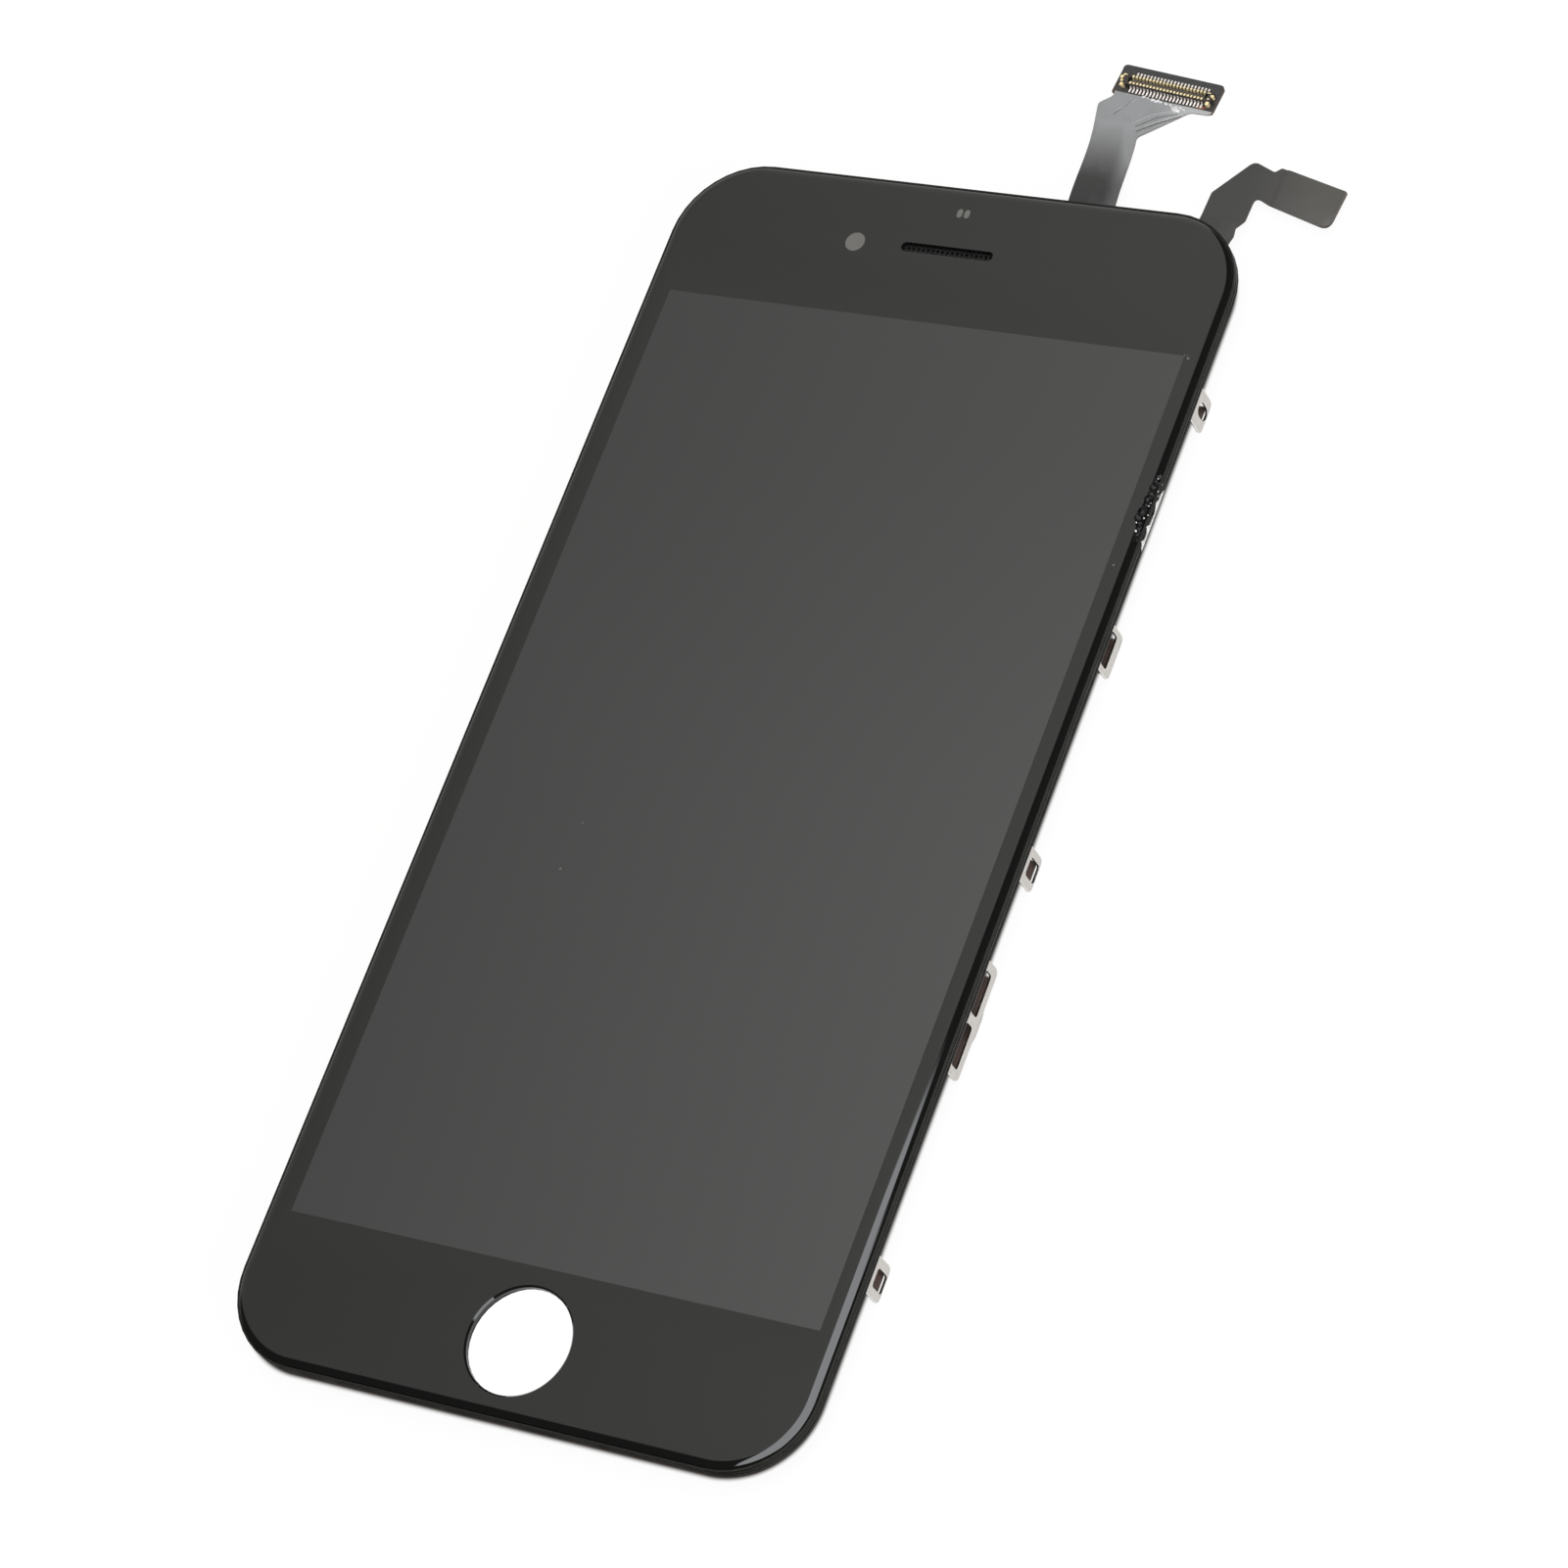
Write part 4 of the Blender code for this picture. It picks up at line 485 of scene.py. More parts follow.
# painted shade darkens the sheet towards its root, and painted light keeps its right edge, which curls up, lighter; a
# painted sheen lies across its middle, and the creases carry painted shade and painted highlights besides their bump
def makeShieldFilm(values):
    material, tree, shader = newFinish("shieldedFilm", metal=0.45, ior=1.5)
    x, y, _ = axes(tree)
    grain = useGroup(tree, fineGrain, {"Scale": 2800.0, "Contrast": 1.0})
    clouds = useGroup(tree, smears, {"Scale": 260.0, "Low": 0.32, "High": 0.46})
    rise = ramp(tree, y, *values["bend"])
    curl = ramp(tree, plus(tree, x, times(tree, y, 0.19)), *values["curl"])
    curled = times(tree, curl, plus(tree, times(tree, rise, 0.7), 0.30))
    paintedLightShare = plus(tree, rise, curled, clamp=True)
    uneven = times(tree, minus(tree, clouds["Value"], 0.5), 0.10)
    tone = mixColour(tree, plus(tree, paintedLightShare, uneven, clamp=True), values["dark"], values["light"])
    tone = mixColour(tree, times(tree, grain["Value"], 0.05), tone, values["middle"])
    flare = times(tree, ramp(tree, x, *values["flare"]), rise)
    tone = mixColour(tree, times(tree, flare, 0.6), tone, values["flareTone"])
    sunk = creaseMask(tree, values["creaseShadeLines"])
    raised = creaseMask(tree, values["creaseHighlightLines"])
    tone = mixColour(tree, times(tree, sunk, 0.75), tone, values["dark"])
    tone = mixColour(tree, times(tree, raised, 0.35), tone, values["creaseHighlightTone"])
    height = plus(tree, minus(tree, times(tree, grain["Height"], 0.04), sunk), raised)
    paint(tree, shader, tone, clouds["Roughness"], height, 0.4, 0.03)
    return material


coverFilm = {
    "dark": (0.024, 0.024, 0.023),
    "light": (0.034, 0.0338, 0.032),
    "head": (0.090, 0.085, 0.079),
    "reach": (26.5 * mm, 36.5 * mm),   # across which the film gets as pale as its head
    "scale": 3600.0,
}
solderMask = {
    "dark": (0.016, 0.0155, 0.016),
    "light": (0.030, 0.0292, 0.030),
    "scale": 4200.0,
}


def makeCoverFilm(name, values):
    material, tree, shader = newFinish(name, ior=1.5)
    grain = useGroup(tree, fineGrain, {"Scale": values["scale"], "Contrast": 1.6})
    clouds = useGroup(tree, smears, {"Scale": 420.0, "Low": 0.36, "High": 0.55})
    tone = mixColour(tree, grain["Value"], values["dark"], values["light"])
    if "head" in values:
        mottle = plus(tree, times(tree, clouds["Value"], 0.22), 0.78)
        pale = times(tree, ramp(tree, axes(tree)[0], *values["reach"]), mottle)
        tone = mixColour(tree, pale, tone, values["head"])
    tone = mixColour(tree, times(tree, clouds["Value"], 0.2), tone, values["light"])
    paint(tree, shader, tone, clouds["Roughness"], grain["Height"], 0.25, 0.012)
    return material


shield = makeShieldFilm(shieldFilm)
cover = makeCoverFilm("darkCoverFilm", coverFilm)
mask = makeCoverFilm("solderMask", solderMask)
say("finishes made")


def linked(name, mesh, materials):
    piece = bpy.data.objects.new(name, mesh)
    scene.collection.objects.link(piece)
    for material in materials:
        mesh.materials.append(material)
    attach(piece, "root")
    return piece


def shadeSmooth(mesh, angle=32.0):
    mesh.shade_smooth()
    mesh.set_sharp_from_angle(angle=math.radians(angle))


def meshFrom(name, bm):
    mesh = bpy.data.meshes.new(name)
    bm.normal_update()
    bm.to_mesh(mesh)
    bm.free()
    return mesh


def pieceFrom(name, bm, materials, place=None, smooth=32.0):
    bmesh.ops.recalc_face_normals(bm, faces=bm.faces)
    mesh = meshFrom(name, bm)
    if place is not None:
        mesh.transform(place)
    piece = linked(name, mesh, materials)
    shadeSmooth(mesh, smooth)
    return piece


def baked(piece):
    graph = bpy.context.evaluated_depsgraph_get()
    mesh = bpy.data.meshes.new_from_object(piece.evaluated_get(graph))
    piece.modifiers.clear()
    piece.data = mesh


def arcPoints(centre, radius, start, end, steps):
    turns = [math.radians(start + (end - start) * step / steps) for step in range(steps + 1)]
    return [(centre[0] + radius * math.cos(turn), centre[1] + radius * math.sin(turn)) for turn in turns]


def ringPoints(centre, radius, steps):
    return arcPoints(centre, radius, 0.0, 360.0, steps)[:-1]


def slotPoints(centre, length, width, steps=16):
    reach = (length - width) / 2
    right = arcPoints((centre[0] + reach, centre[1]), width / 2, -90.0, 90.0, steps)
    left = arcPoints((centre[0] - reach, centre[1]), width / 2, 90.0, 270.0, steps)
    return right + left


def boxPoints(halfX, halfY):
    return [(halfX, halfY), (-halfX, halfY), (-halfX, -halfY), (halfX, -halfY)]


def turnedPoints(points, turn, centre):
    cosine, sine = math.cos(turn), math.sin(turn)
    return [(centre[0] + x * cosine - y * sine, centre[1] + x * sine + y * cosine) for x, y in points]


def movedPoints(points, x, y):
    return [(x * mm + px, y * mm + py) for px, py in points]


# a corner is rounded by its own radius where it has one
def roundedCorners(corners, radius, steps=5):
    points = []
    for index, corner in enumerate(corners):
        here = Vector(corner[:2])
        before, after = Vector(corners[index - 1][:2]), Vector(corners[(index + 1) % len(corners)][:2])
        back, ahead = before - here, after - here
        half = back.angle(ahead) / 2
        own = corner[2] if len(corner) > 2 else radius
        cut = min(own / math.tan(half), 0.45 * back.length, 0.45 * ahead.length)
        start, end = here + back.normalized() * cut, here + ahead.normalized() * cut
        for step in range(steps + 1):
            share = step / steps
            point = start * (1 - share) ** 2 + here * 2 * share * (1 - share) + end * share ** 2
            points.append((point.x, point.y))
    return points


def roundBox(halfX, halfY, radius, steps=4):
    return roundedCorners(boxPoints(halfX, halfY), radius, steps)


def addLoop(bm, points, height):
    return [bm.verts.new((x, y, height)) for x, y in points]


def bridge(bm, lower, upper, material=0):
    count = len(lower)
    for index in range(count):
        after = (index + 1) % count
        face = bm.faces.new((lower[index], lower[after], upper[after], upper[index]))
        face.material_index = material


def fillFlat(bm, loops, material=0):
    verts = [vert for loop in loops for vert in loop]
    for corners in tessellate_polygon([[vert.co.copy() for vert in loop] for loop in loops]):
        face = bm.faces.new([verts[index] for index in corners])
        face.material_index = material


def addPrism(bm, firstPoints, lastPoints, start, end, material=0):
    first, last = addLoop(bm, firstPoints, start), addLoop(bm, lastPoints, end)
    bridge(bm, first, last, material)
    fillFlat(bm, [first], material)
    fillFlat(bm, [last], material)


def softenRims(bm, width):
    rims = [edge for edge in bm.edges if len(edge.link_faces) == 2 and edge.calc_face_angle(0.0) > 0.9]
    bmesh.ops.bevel(bm, geom=rims, offset=width, segments=2, affect="EDGES", clamp_overlap=False)


# a copy of the node with its sharp edges rounded, width in millimetres
def softened(node, name, width, materials, segments=2):
    bm = bmesh.new()
    bm.from_mesh(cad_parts[node].data)
    bmesh.ops.remove_doubles(bm, verts=bm.verts, dist=0.0008 * mm)
    bmesh.ops.dissolve_limit(bm, angle_limit=math.radians(1.0), verts=bm.verts, edges=bm.edges)
    flag = bm.faces.layers.float.new("edgeFace")
    sharpAngle = math.radians(30.0)
    sharp = [edge for edge in bm.edges if len(edge.link_faces) == 2 and edge.calc_face_angle(0.0) > sharpAngle]
    made = bmesh.ops.bevel(bm, geom=sharp, offset=width * mm, segments=segments, profile=0.5,
                           affect="EDGES", clamp_overlap=False, loop_slide=True)
    for face in made["faces"]:
        face[flag] = 1.0
    bmesh.ops.triangulate(bm, faces=[f for f in bm.faces if len(f.verts) > 4])
    mesh = meshFrom(name, bm)
    mesh.materials.clear()
    piece = linked(name, mesh, materials)
    shadeSmooth(mesh)
    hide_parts(node)
    return piece


panel = {
    "halfWidth": 31.8 * mm,
    "halfLength": 67.5 * mm,
    "radius": 8.8 * mm,
    "cornerSteps": 40,
}


def panelPoints(inset):
    x = panel["halfWidth"] - panel["radius"]
    y = panel["halfLength"] - panel["radius"]
    radius = panel["radius"] - inset
    points = []
    for centre, start in (((x, y), 0.0), ((-x, y), 90.0), ((-x, -y), 180.0), ((x, -y), 270.0)):
        points += arcPoints(centre, radius, start, start + 90.0, panel["cornerSteps"])
    return points


glassPane = {
    "inset": 0.25 * mm,
    "thickness": 0.60 * mm,
    "edgeWidth": 0.92 * mm,
    "edgeDrop": 0.36 * mm,
    "edgeSteps": 12,
    "printShift": (0.21 * mm, -0.15 * mm),   # how far the glass seems to move what is printed under it
    "viewHalf": 29.25 * mm,
    "viewTop": 51.825 * mm,
    "viewBottom": -52.225 * mm,
    "home": (0.0, -59.773 * mm),
    "homeRadius": 5.423 * mm,
    "homeSteps": 128,
    "chamfer": 0.18 * mm,
    "slot": (0.0, 59.95 * mm),
    "slotSize": (10.4 * mm, 1.06 * mm),
    "camera": (-10.7 * mm, 59.95 * mm),
    "cameraRadius": 1.08 * mm,
    "sensors": ((-0.41 * mm, 64.58 * mm), (0.41 * mm, 64.58 * mm)),
    "sensorSize": (1.0 * mm, 0.6 * mm),
    "plugGap": 0.002 * mm,
    "plugShare": 0.992,
    # the chip: where along the edge, and each scoop as offset, radius, reach
    "damageY": 35.0 * mm,
    "scoopHeight": -0.1 * mm,
    "scoopShape": (1.15, 0.8),
    "scoops": ((3.35, 0.40, 0.28), (2.75, 0.45, 0.42), (2.1, 0.50, 0.52), (1.4, 0.45, 0.45), (0.75, 0.50, 0.62),
               (0.05, 0.50, 0.60), (-0.65, 0.55, 0.78), (-1.3, 0.50, 0.92), (-1.85, 0.45, 0.60), (-2.5, 0.45, 0.42),
               (-3.1, 0.40, 0.36), (-3.65, 0.35, 0.24)),
}


def seenThrough(point):
    return (point[0] + glassPane["printShift"][0], point[1] + glassPane["printShift"][1])


def cameraRound():
    return ringPoints(seenThrough(glassPane["camera"]), glassPane["cameraRadius"], 48)


def sensorOval(place):
    oval = slotPoints((0.0, 0.0), *glassPane["sensorSize"], 10)
    x, y = seenThrough(place)
    return [(x - across, y + along) for along, across in oval]


def jaggedLump(name, centre, size, seed, materials, index):
    dice = random.Random(seed)
    bm = bmesh.new()
    bmesh.ops.create_icosphere(bm, subdivisions=2, radius=1.0)
    spin = Euler((0.9 * seed, 0.7 * seed, 0.4 * seed)).to_matrix()
    for vert in bm.verts:
        point = spin @ vert.co * (1.0 + dice.uniform(-0.10, 0.06))
        vert.co = Vector(centre) + Vector([a * b for a, b in zip(point, size)])
    for face in bm.faces:
        face.material_index = index
    mesh = meshFrom(name, bm)
    for material in materials:
        mesh.materials.append(material)
    lump = bpy.data.objects.new(name, mesh)
    scene.collection.objects.link(lump)
    return lump


def cutAway(piece, lumps):
    for lump in lumps:
        cut = piece.modifiers.new(lump.name, "BOOLEAN")
        cut.operation = "DIFFERENCE"
        cut.solver = "EXACT"
        cut.object = lump
    baked(piece)
    for lump in lumps:
        mesh = lump.data
        bpy.data.objects.remove(lump)
        bpy.data.meshes.remove(mesh)


def buildGlass(values):
    bm = bmesh.new()
    materials = [ink, viewGlass, brokenGlass]
    bottom, drop = -values["thickness"], values["edgeDrop"]
    lowest = ring = addLoop(bm, panelPoints(values["inset"]), bottom)
    for step in range(values["edgeSteps"] + 1):
        turn = math.radians(90.0 * step / values["edgeSteps"])
        inset = values["inset"] + values["edgeWidth"] * (1.0 - math.cos(turn))
        upper = addLoop(bm, panelPoints(inset), drop * (math.sin(turn) - 1.0))
        bridge(bm, ring, upper)
        ring = upper
    home, radius, chamfer, steps = [values[key] for key in ("home", "homeRadius", "chamfer", "homeSteps")]
    mouth = addLoop(bm, ringPoints(home, radius + chamfer, steps), 0.0)
    neck = addLoop(bm, ringPoints(home, radius, steps), -chamfer)
    foot = addLoop(bm, ringPoints(home, radius, steps), bottom)
    bridge(bm, mouth, neck)
    bridge(bm, neck, foot)
    topLoops, bottomLoops = [ring, mouth], [lowest, foot]
    openings = [slotPoints(values["slot"], *values["slotSize"]), cameraRound(), *map(sensorOval, values["sensors"])]
    for points in openings:
        upper, lower = addLoop(bm, points, 0.0), addLoop(bm, points, bottom)
        bridge(bm, upper, lower)
        topLoops.append(upper)
        bottomLoops.append(lower)
    half, top, base = values["viewHalf"], values["viewTop"], values["viewBottom"]
    view = addLoop(bm, map(seenThrough, [(half, base), (half, top), (-half, top), (-half, base)]), 0.0)
    fillFlat(bm, [view], 1)
    fillFlat(bm, topLoops + [view])
    fillFlat(bm, bottomLoops)
    bmesh.ops.recalc_face_normals(bm, faces=bm.faces)
    glass = linked("glassPane", meshFrom("glassPane", bm), materials)
    edge = panel["halfWidth"] - values["inset"]
    lumps = []
    for number, (offset, radius, reach) in enumerate(values["scoops"], 1):
        centre = (edge + (radius * 0.6 - reach) * mm, values["damageY"] + offset * mm, values["scoopHeight"])
        size = (radius * mm, *(radius * share * mm for share in values["scoopShape"]))
        lumps.append(jaggedLump(f"glassScoop{number}", centre, size, number, materials, 2))
    cutAway(glass, lumps)
    shadeSmooth(glass.data, 30.0)
    for face in glass.data.polygons:
        if face.material_index == 2:
            face.use_smooth = False
    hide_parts("cover_glass")
    return glass


# the window plugs are opaque grey: painted shade standing in for the shaded floor seen through the windows
def windowPlug(name, points, values=glassPane):
    bm = bmesh.new()
    middle = Vector((sum(p[0] for p in points), sum(p[1] for p in points))) / len(points)
    share, gap = values["plugShare"], values["plugGap"]
    inner = [(middle.x + (x - middle.x) * share, middle.y + (y - middle.y) * share) for x, y in points]
    addPrism(bm, inner, inner, -gap, -values["thickness"] + gap)
    return pieceFrom(name, bm, [shadedPlugGrey])


pane = buildGlass(glassPane)
windowPlug("cameraWindow", cameraRound())
for number, place in enumerate(glassPane["sensors"], 1):
    windowPlug(f"sensorWindow{number}", sensorOval(place))
say("glass cut and chipped")


# bright splinters in the chip, white as painted glints, each where the photograph shows it: across, along, size
splinters = {
    "spots": (
        (31.38, 38.15, 0.09), (31.70, 37.70, 0.05), (32.00, 37.58, 0.05), (31.86, 36.80, 0.08), (32.03, 36.33, 0.09),
        (31.56, 35.44, 0.07), (32.13, 35.47, 0.06), (31.71, 34.15, 0.08), (31.42, 33.78, 0.10), (30.79, 33.20, 0.10),
        (32.14, 32.80, 0.11),
    ),
    "eye": (0.27100, -0.18617, 0.44632),
    "aimHeight": -0.15 * mm,
    "flatness": 0.6,
}


def surfaceOf(pieces):
    corners, faces = [], []
    for piece in pieces:
        start = len(corners)
        corners += [piece.matrix_world @ vert.co for vert in piece.data.vertices]
        faces += [[start + index for index in face.vertices] for face in piece.data.polygons]
    return BVHTree.FromPolygons(corners, faces)


# each splinter lies on the first surface that is met on the way from the photograph's camera
def scatterSplinters(pieces, values):
    surface = surfaceOf(pieces)
    bm = bmesh.new()
    dice = random.Random(5)
    eye = Vector(values["eye"])
    for x, y, size in values["spots"]:
        aim = Vector((x * mm, y * mm, values["aimHeight"]))
        spot = surface.ray_cast(eye, (aim - eye).normalized())[0]
        if spot is None:
            continue
        made = bmesh.ops.create_icosphere(bm, subdivisions=1, radius=1.0)["verts"]
        spin = Euler((dice.uniform(0, 3), dice.uniform(0, 3), dice.uniform(0, 3))).to_matrix()
        for vert in made:
            lumpy = spin @ (vert.co * dice.uniform(0.8, 1.1))
            vert.co = spot + Vector((lumpy.x * size, lumpy.y * size, lumpy.z * size * values["flatness"])) * mm
    return linked("glassSplinters", meshFrom("glassSplinters", bm), [splinterGlintWhite])


mouldedFrame = {
    "softening": 0.035,
    # faces of the break in the rim, which are whitened: the wall's place across, the floor's height, the range along
    "breakWall": (31.50 * mm, 31.60 * mm),
    "breakWallTop": -0.6 * mm,
    "breakFloor": (-1.40 * mm, -1.30 * mm),
    "breakRange": (30.5 * mm, 38.0 * mm),
}


def buildFrame(values):
    body = softened("bezel_frame", "mouldedFrame", values["softening"], [rimPlastic, whitened])
    low, high = values["breakRange"]
    near, far = values["breakWall"]
    deepest, floorTop = values["breakFloor"]
    for face in body.data.polygons:
        x, y, z = face.center
        wall = near < x < far and face.normal.x > 0.7 and z < values["breakWallTop"]
        floor = x > near and deepest < z < floorTop and face.normal.z > 0.7
        if low < y < high and (wall or floor):
            face.material_index = 1
    return body


sideClips = {
    "softening": 0.045,
    # which faces are the walls of a window: away from the clip's ends, foot and crown, and near its outer face
    "margin": 0.35 * mm,
    "depth": 0.33 * mm,
    "foot": 0.22 * mm,
    "crown": 0.25 * mm,
}


# painted shade: the window walls of the right clips take the dark steel
def darkenWindows(clip, values):
    xs, ys, zs = zip(*(vert.co for vert in clip.data.vertices))
    for face in clip.data.polygons:
        x, y, z = face.center
        within = min(ys) + values["margin"] < y < max(ys) - values["margin"]
        flat = 0.9 if z < max(zs) - values["crown"] else 0.35
        if x > max(xs) - values["depth"] and within and z > min(zs) + values["foot"] and abs(face.normal.x) < flat:
            face.material_index = 1


# fittings that only get softer edges: name, softening, finish, slot, steps round each edge
fittings = {
    "backlight_pan": ("backlightPan", 0.05, panSteel, "steel", 3),
    "earpiece_gasket": ("earpieceGasket", 0.04, foam, "foam", 2),
    "camera_ring": ("cameraRing", 0.04, ringGrey, "clear_film", 2),
    "sensor_holder": ("sensorHolder", 0.05, blackPlastic, "black_plastic", 2),
    "display_stiffener": ("displayStiffener", 0.03, stiffenerBrown, "steel", 2),
    "touch_stiffener": ("touchStiffener", 0.03, cover, "dark_film", 2),
    "touch_connector": ("touchConnector", 0.02, connectorBlack, "connector", 1),
}

body = buildFrame(mouldedFrame)
scatterSplinters([pane, body], splinters)
for side in ("right", "left"):
    for number in range(1, 6):
        clip = softened(f"clip_{side}_{number}", f"{side}Clip{number}", sideClips["softening"],
                        [clipSteel, shadedWindowSteel])
        if side == "right":
            darkenWindows(clip, sideClips)
    softened(f"lower_tab_{side}", f"{side}ScrewTab", 0.045, [clipSteel])
for number in (1, 2, 3):
    softened(f"top_hook_{number}", f"topHook{number}", 0.045, [clipSteel])
for number in range(1, 6):
    softened(f"insert_{number}", f"threadedInsert{number}", 0.05, [brass])
for node, (name, width, material, slot, segments) in fittings.items():
    softened(node, name, width, [material], segments)
say("frame, clips and fittings softened")


hiddenLayers = {
    "border_print": inkDark,
    "frame_adhesive": foam,
    "earpiece_mesh": meshBlack,
    "optical_adhesive": guideClear,
    "front_polarizer": polarizerDark,
    "colour_filter_glass": cellDark,
    "tft_glass": cellDark,
    "rear_polarizer": polarizerDark,
    "driver_chip": silicon,
    "rim_tape": inkDark,
    "upper_prism_film": diffuserWhite,
    "lower_prism_film": diffuserWhite,
    "diffuser_film": diffuserWhite,
    "light_guide": guideClear,
    "led_strip": ledYellow,
    "reflector_film": diffuserWhite,
    "moulded_tray": whitePlastic,
}
for node, material in hiddenLayers.items():
    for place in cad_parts[node].material_slots:
        place.material = material
say("inner layers finished")


# both films: they dip from the bond to the frame's notch, run out level and then fall to their heads
filmSet = {
    "thickness": 0.12 * mm,
    "fillet": 0.35 * mm,
    "dip": (55.2 * mm, 57.4 * mm),
    "notchHeight": -1.80 * mm,
    "slice": 0.4 * mm,
}
displayFilm = {
    "bondHeight": -1.06 * mm,
    "fall": (66.2 * mm, 79.0 * mm),
    "headHeight": -4.42 * mm,
    "slope": 0.0,
    "headCentre": (14.58 * mm, 83.80 * mm),
    "headSize": (11.95 * mm, 3.62 * mm),
    "headRadii": (0.6, 0.5, 0.5, 0.6),
    "headTurn": -6.8,
    "maskFoot": 0.42 * mm,   # where the dark solder mask starts, up from the foot of the head
    "leftSide": [(8.93, 82.45, 0.5), (7.58, 81.45, 0.6), (9.84, 68.5), (9.84, 58.2), (5.0, 56.4), (5.0, 53.7)],
    "rightSide": [(19.5, 53.7), (19.5, 56.4), (15.1, 58.2), (15.1, 68.5), (13.25, 77.9, 0.6), (17.95, 81.4, 1.2)],
}
touchFilm = {
    "bondHeight": -0.84 * mm,
    "fall": (64.4 * mm, 69.7 * mm),
    "headHeight": -3.35 * mm,
    "slope": -0.08,
    "leftSide": [(38.16, 73.81, 0.2), (30.3, 75.86), (29.7, 75.28), (27.14, 76.32, 0.9), (23.97, 72.07, 0.6),
                 (23.9, 68.42), (22.6, 58.2), (20.8, 56.4), (20.8, 52.4)],
    "rightSide": [(27.6, 52.4), (27.6, 58.2), (28.6, 63.5), (28.6, 66.8), (28.2, 68.05), (28.76, 69.15),
                  (28.8, 72.1, 0.7), (30.5, 71.3, 1.0), (37.8, 69.15, 1.0)],
}


def filmCorners(values):
    left, right = [[tuple(number * mm for number in point) for point in values[side]]
                   for side in ("leftSide", "rightSide")]
    if "headSize" not in values:
        return left + right
    half = [size / 2 for size in values["headSize"]]
    turned = turnedPoints(boxPoints(*half), math.radians(values["headTurn"]), values["headCentre"])
    head = [(*point, radius * mm) for point, radius in zip(turned, values["headRadii"])]
    return head[:2] + left + right + [head[3]]


def eased(start, end, low, high, at):
    share = min(max((at - low) / (high - low), 0.0), 1.0)
    return start + (end - start) * share * share * (3 - 2 * share)


def filmHeight(values, y):
    notch, (fallStart, fallEnd) = filmSet["notchHeight"], values["fall"]
    if y < filmSet["dip"][1]:
        return eased(values["bondHeight"], notch, *filmSet["dip"], y)
    return eased(notch, values["headHeight"], fallStart, fallEnd, y) + values["slope"] * max(y - fallEnd, 0.0)


def sliced(bm, point, normal):
    bmesh.ops.bisect_plane(bm, geom=bm.verts[:] + bm.edges[:] + bm.faces[:], plane_co=point, plane_no=normal)


def bentFilm(name, node, values, materials):
    corners = filmCorners(values)
    bm = bmesh.new()
    bm.faces.new(addLoop(bm, roundedCorners(corners, filmSet["fillet"]), 0.0))
    xs, ys = [corner[0] for corner in corners], [corner[1] for corner in corners]
    low, left, step = min(ys), min(xs), filmSet["slice"]
    for count in range(1, int((max(ys) - low) / step)):
        sliced(bm, (0.0, low + count * step, 0.0), (0.0, 1.0, 0.0))
    for count in range(1, int((max(xs) - left) / (3 * step))):
        sliced(bm, (left + count * 3 * step, 0.0, 0.0), (1.0, 0.0, 0.0))
    if "maskFoot" in values:
        turn = math.radians(values["headTurn"])
        up = Vector((-math.sin(turn), math.cos(turn), 0.0))
        foot = Vector((*values["headCentre"], 0.0)) + up * (values["maskFoot"] - values["headSize"][1] / 2)
        sliced(bm, foot, up)
        for face in bm.faces:
            if (face.calc_center_median() - foot).dot(up) > 0:
                face.material_index = 2
    for vert in bm.verts:
        vert.co.z = filmHeight(values, vert.co.y)
    bmesh.ops.recalc_face_normals(bm, faces=bm.faces)
    if sum(face.normal.z for face in bm.faces) < 0:
        bmesh.ops.reverse_faces(bm, faces=bm.faces)
    film = linked(name, meshFrom(name, bm), materials)
    thicken = film.modifiers.new("thickness", "SOLIDIFY")
    thicken.thickness = filmSet["thickness"]
    thicken.offset = 0.0
    thicken.material_offset_rim = 1
    baked(film)
    shadeSmooth(film.data, 40.0)
    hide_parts(node)


bentFilm("displayFilm", "display_flex", displayFilm, [shield, filmEdge, mask, filmEdge])
bentFilm("touchFilm", "touch_flex", touchFilm, [cover, filmEdge])
say("film circuits bent")


# contact and tail are paths outwards and upwards in millimetres, from the middle of the socket
boardSocket = {
    "pins": 22,
    "pitch": 0.4 * mm,
    "half": (5.2 * mm, 0.60 * mm),
    "height": 0.62 * mm,
    "rounding": 0.15 * mm,
    "troughHalf": (4.64 * mm, 0.26 * mm),
    "troughRounding": 0.08 * mm,
    "troughFloor": 0.2 * mm,
    "islandFoot": ((4.35 * mm, 0.15 * mm), 0.19 * mm),
    "islandCrown": ((4.32 * mm, 0.12 * mm), 0.46 * mm),
    "islandRounding": 0.05 * mm,
    "contact": [(0.235, 0.22), (0.235, 0.57), (0.28, 0.635), (0.37, 0.645), (0.50, 0.64)],
    "tail": [(0.575, 0.38), (0.615, 0.20), (0.67, 0.085), (0.80, 0.055), (1.17, 0.05)],
    "contactWidth": 0.22 * mm,
    "tailWidth": 0.18 * mm,
    "leaf": 0.04 * mm,
    "centre": (14.875 * mm, 83.654 * mm),
    "seat": -4.34 * mm,
    "softening": 0.03 * mm,
}
socketPlace = (
    Matrix.Translation((*boardSocket["centre"], boardSocket["seat"]))
    @ Matrix.Rotation(math.radians(displayFilm["headTurn"]), 4, "Z")
)


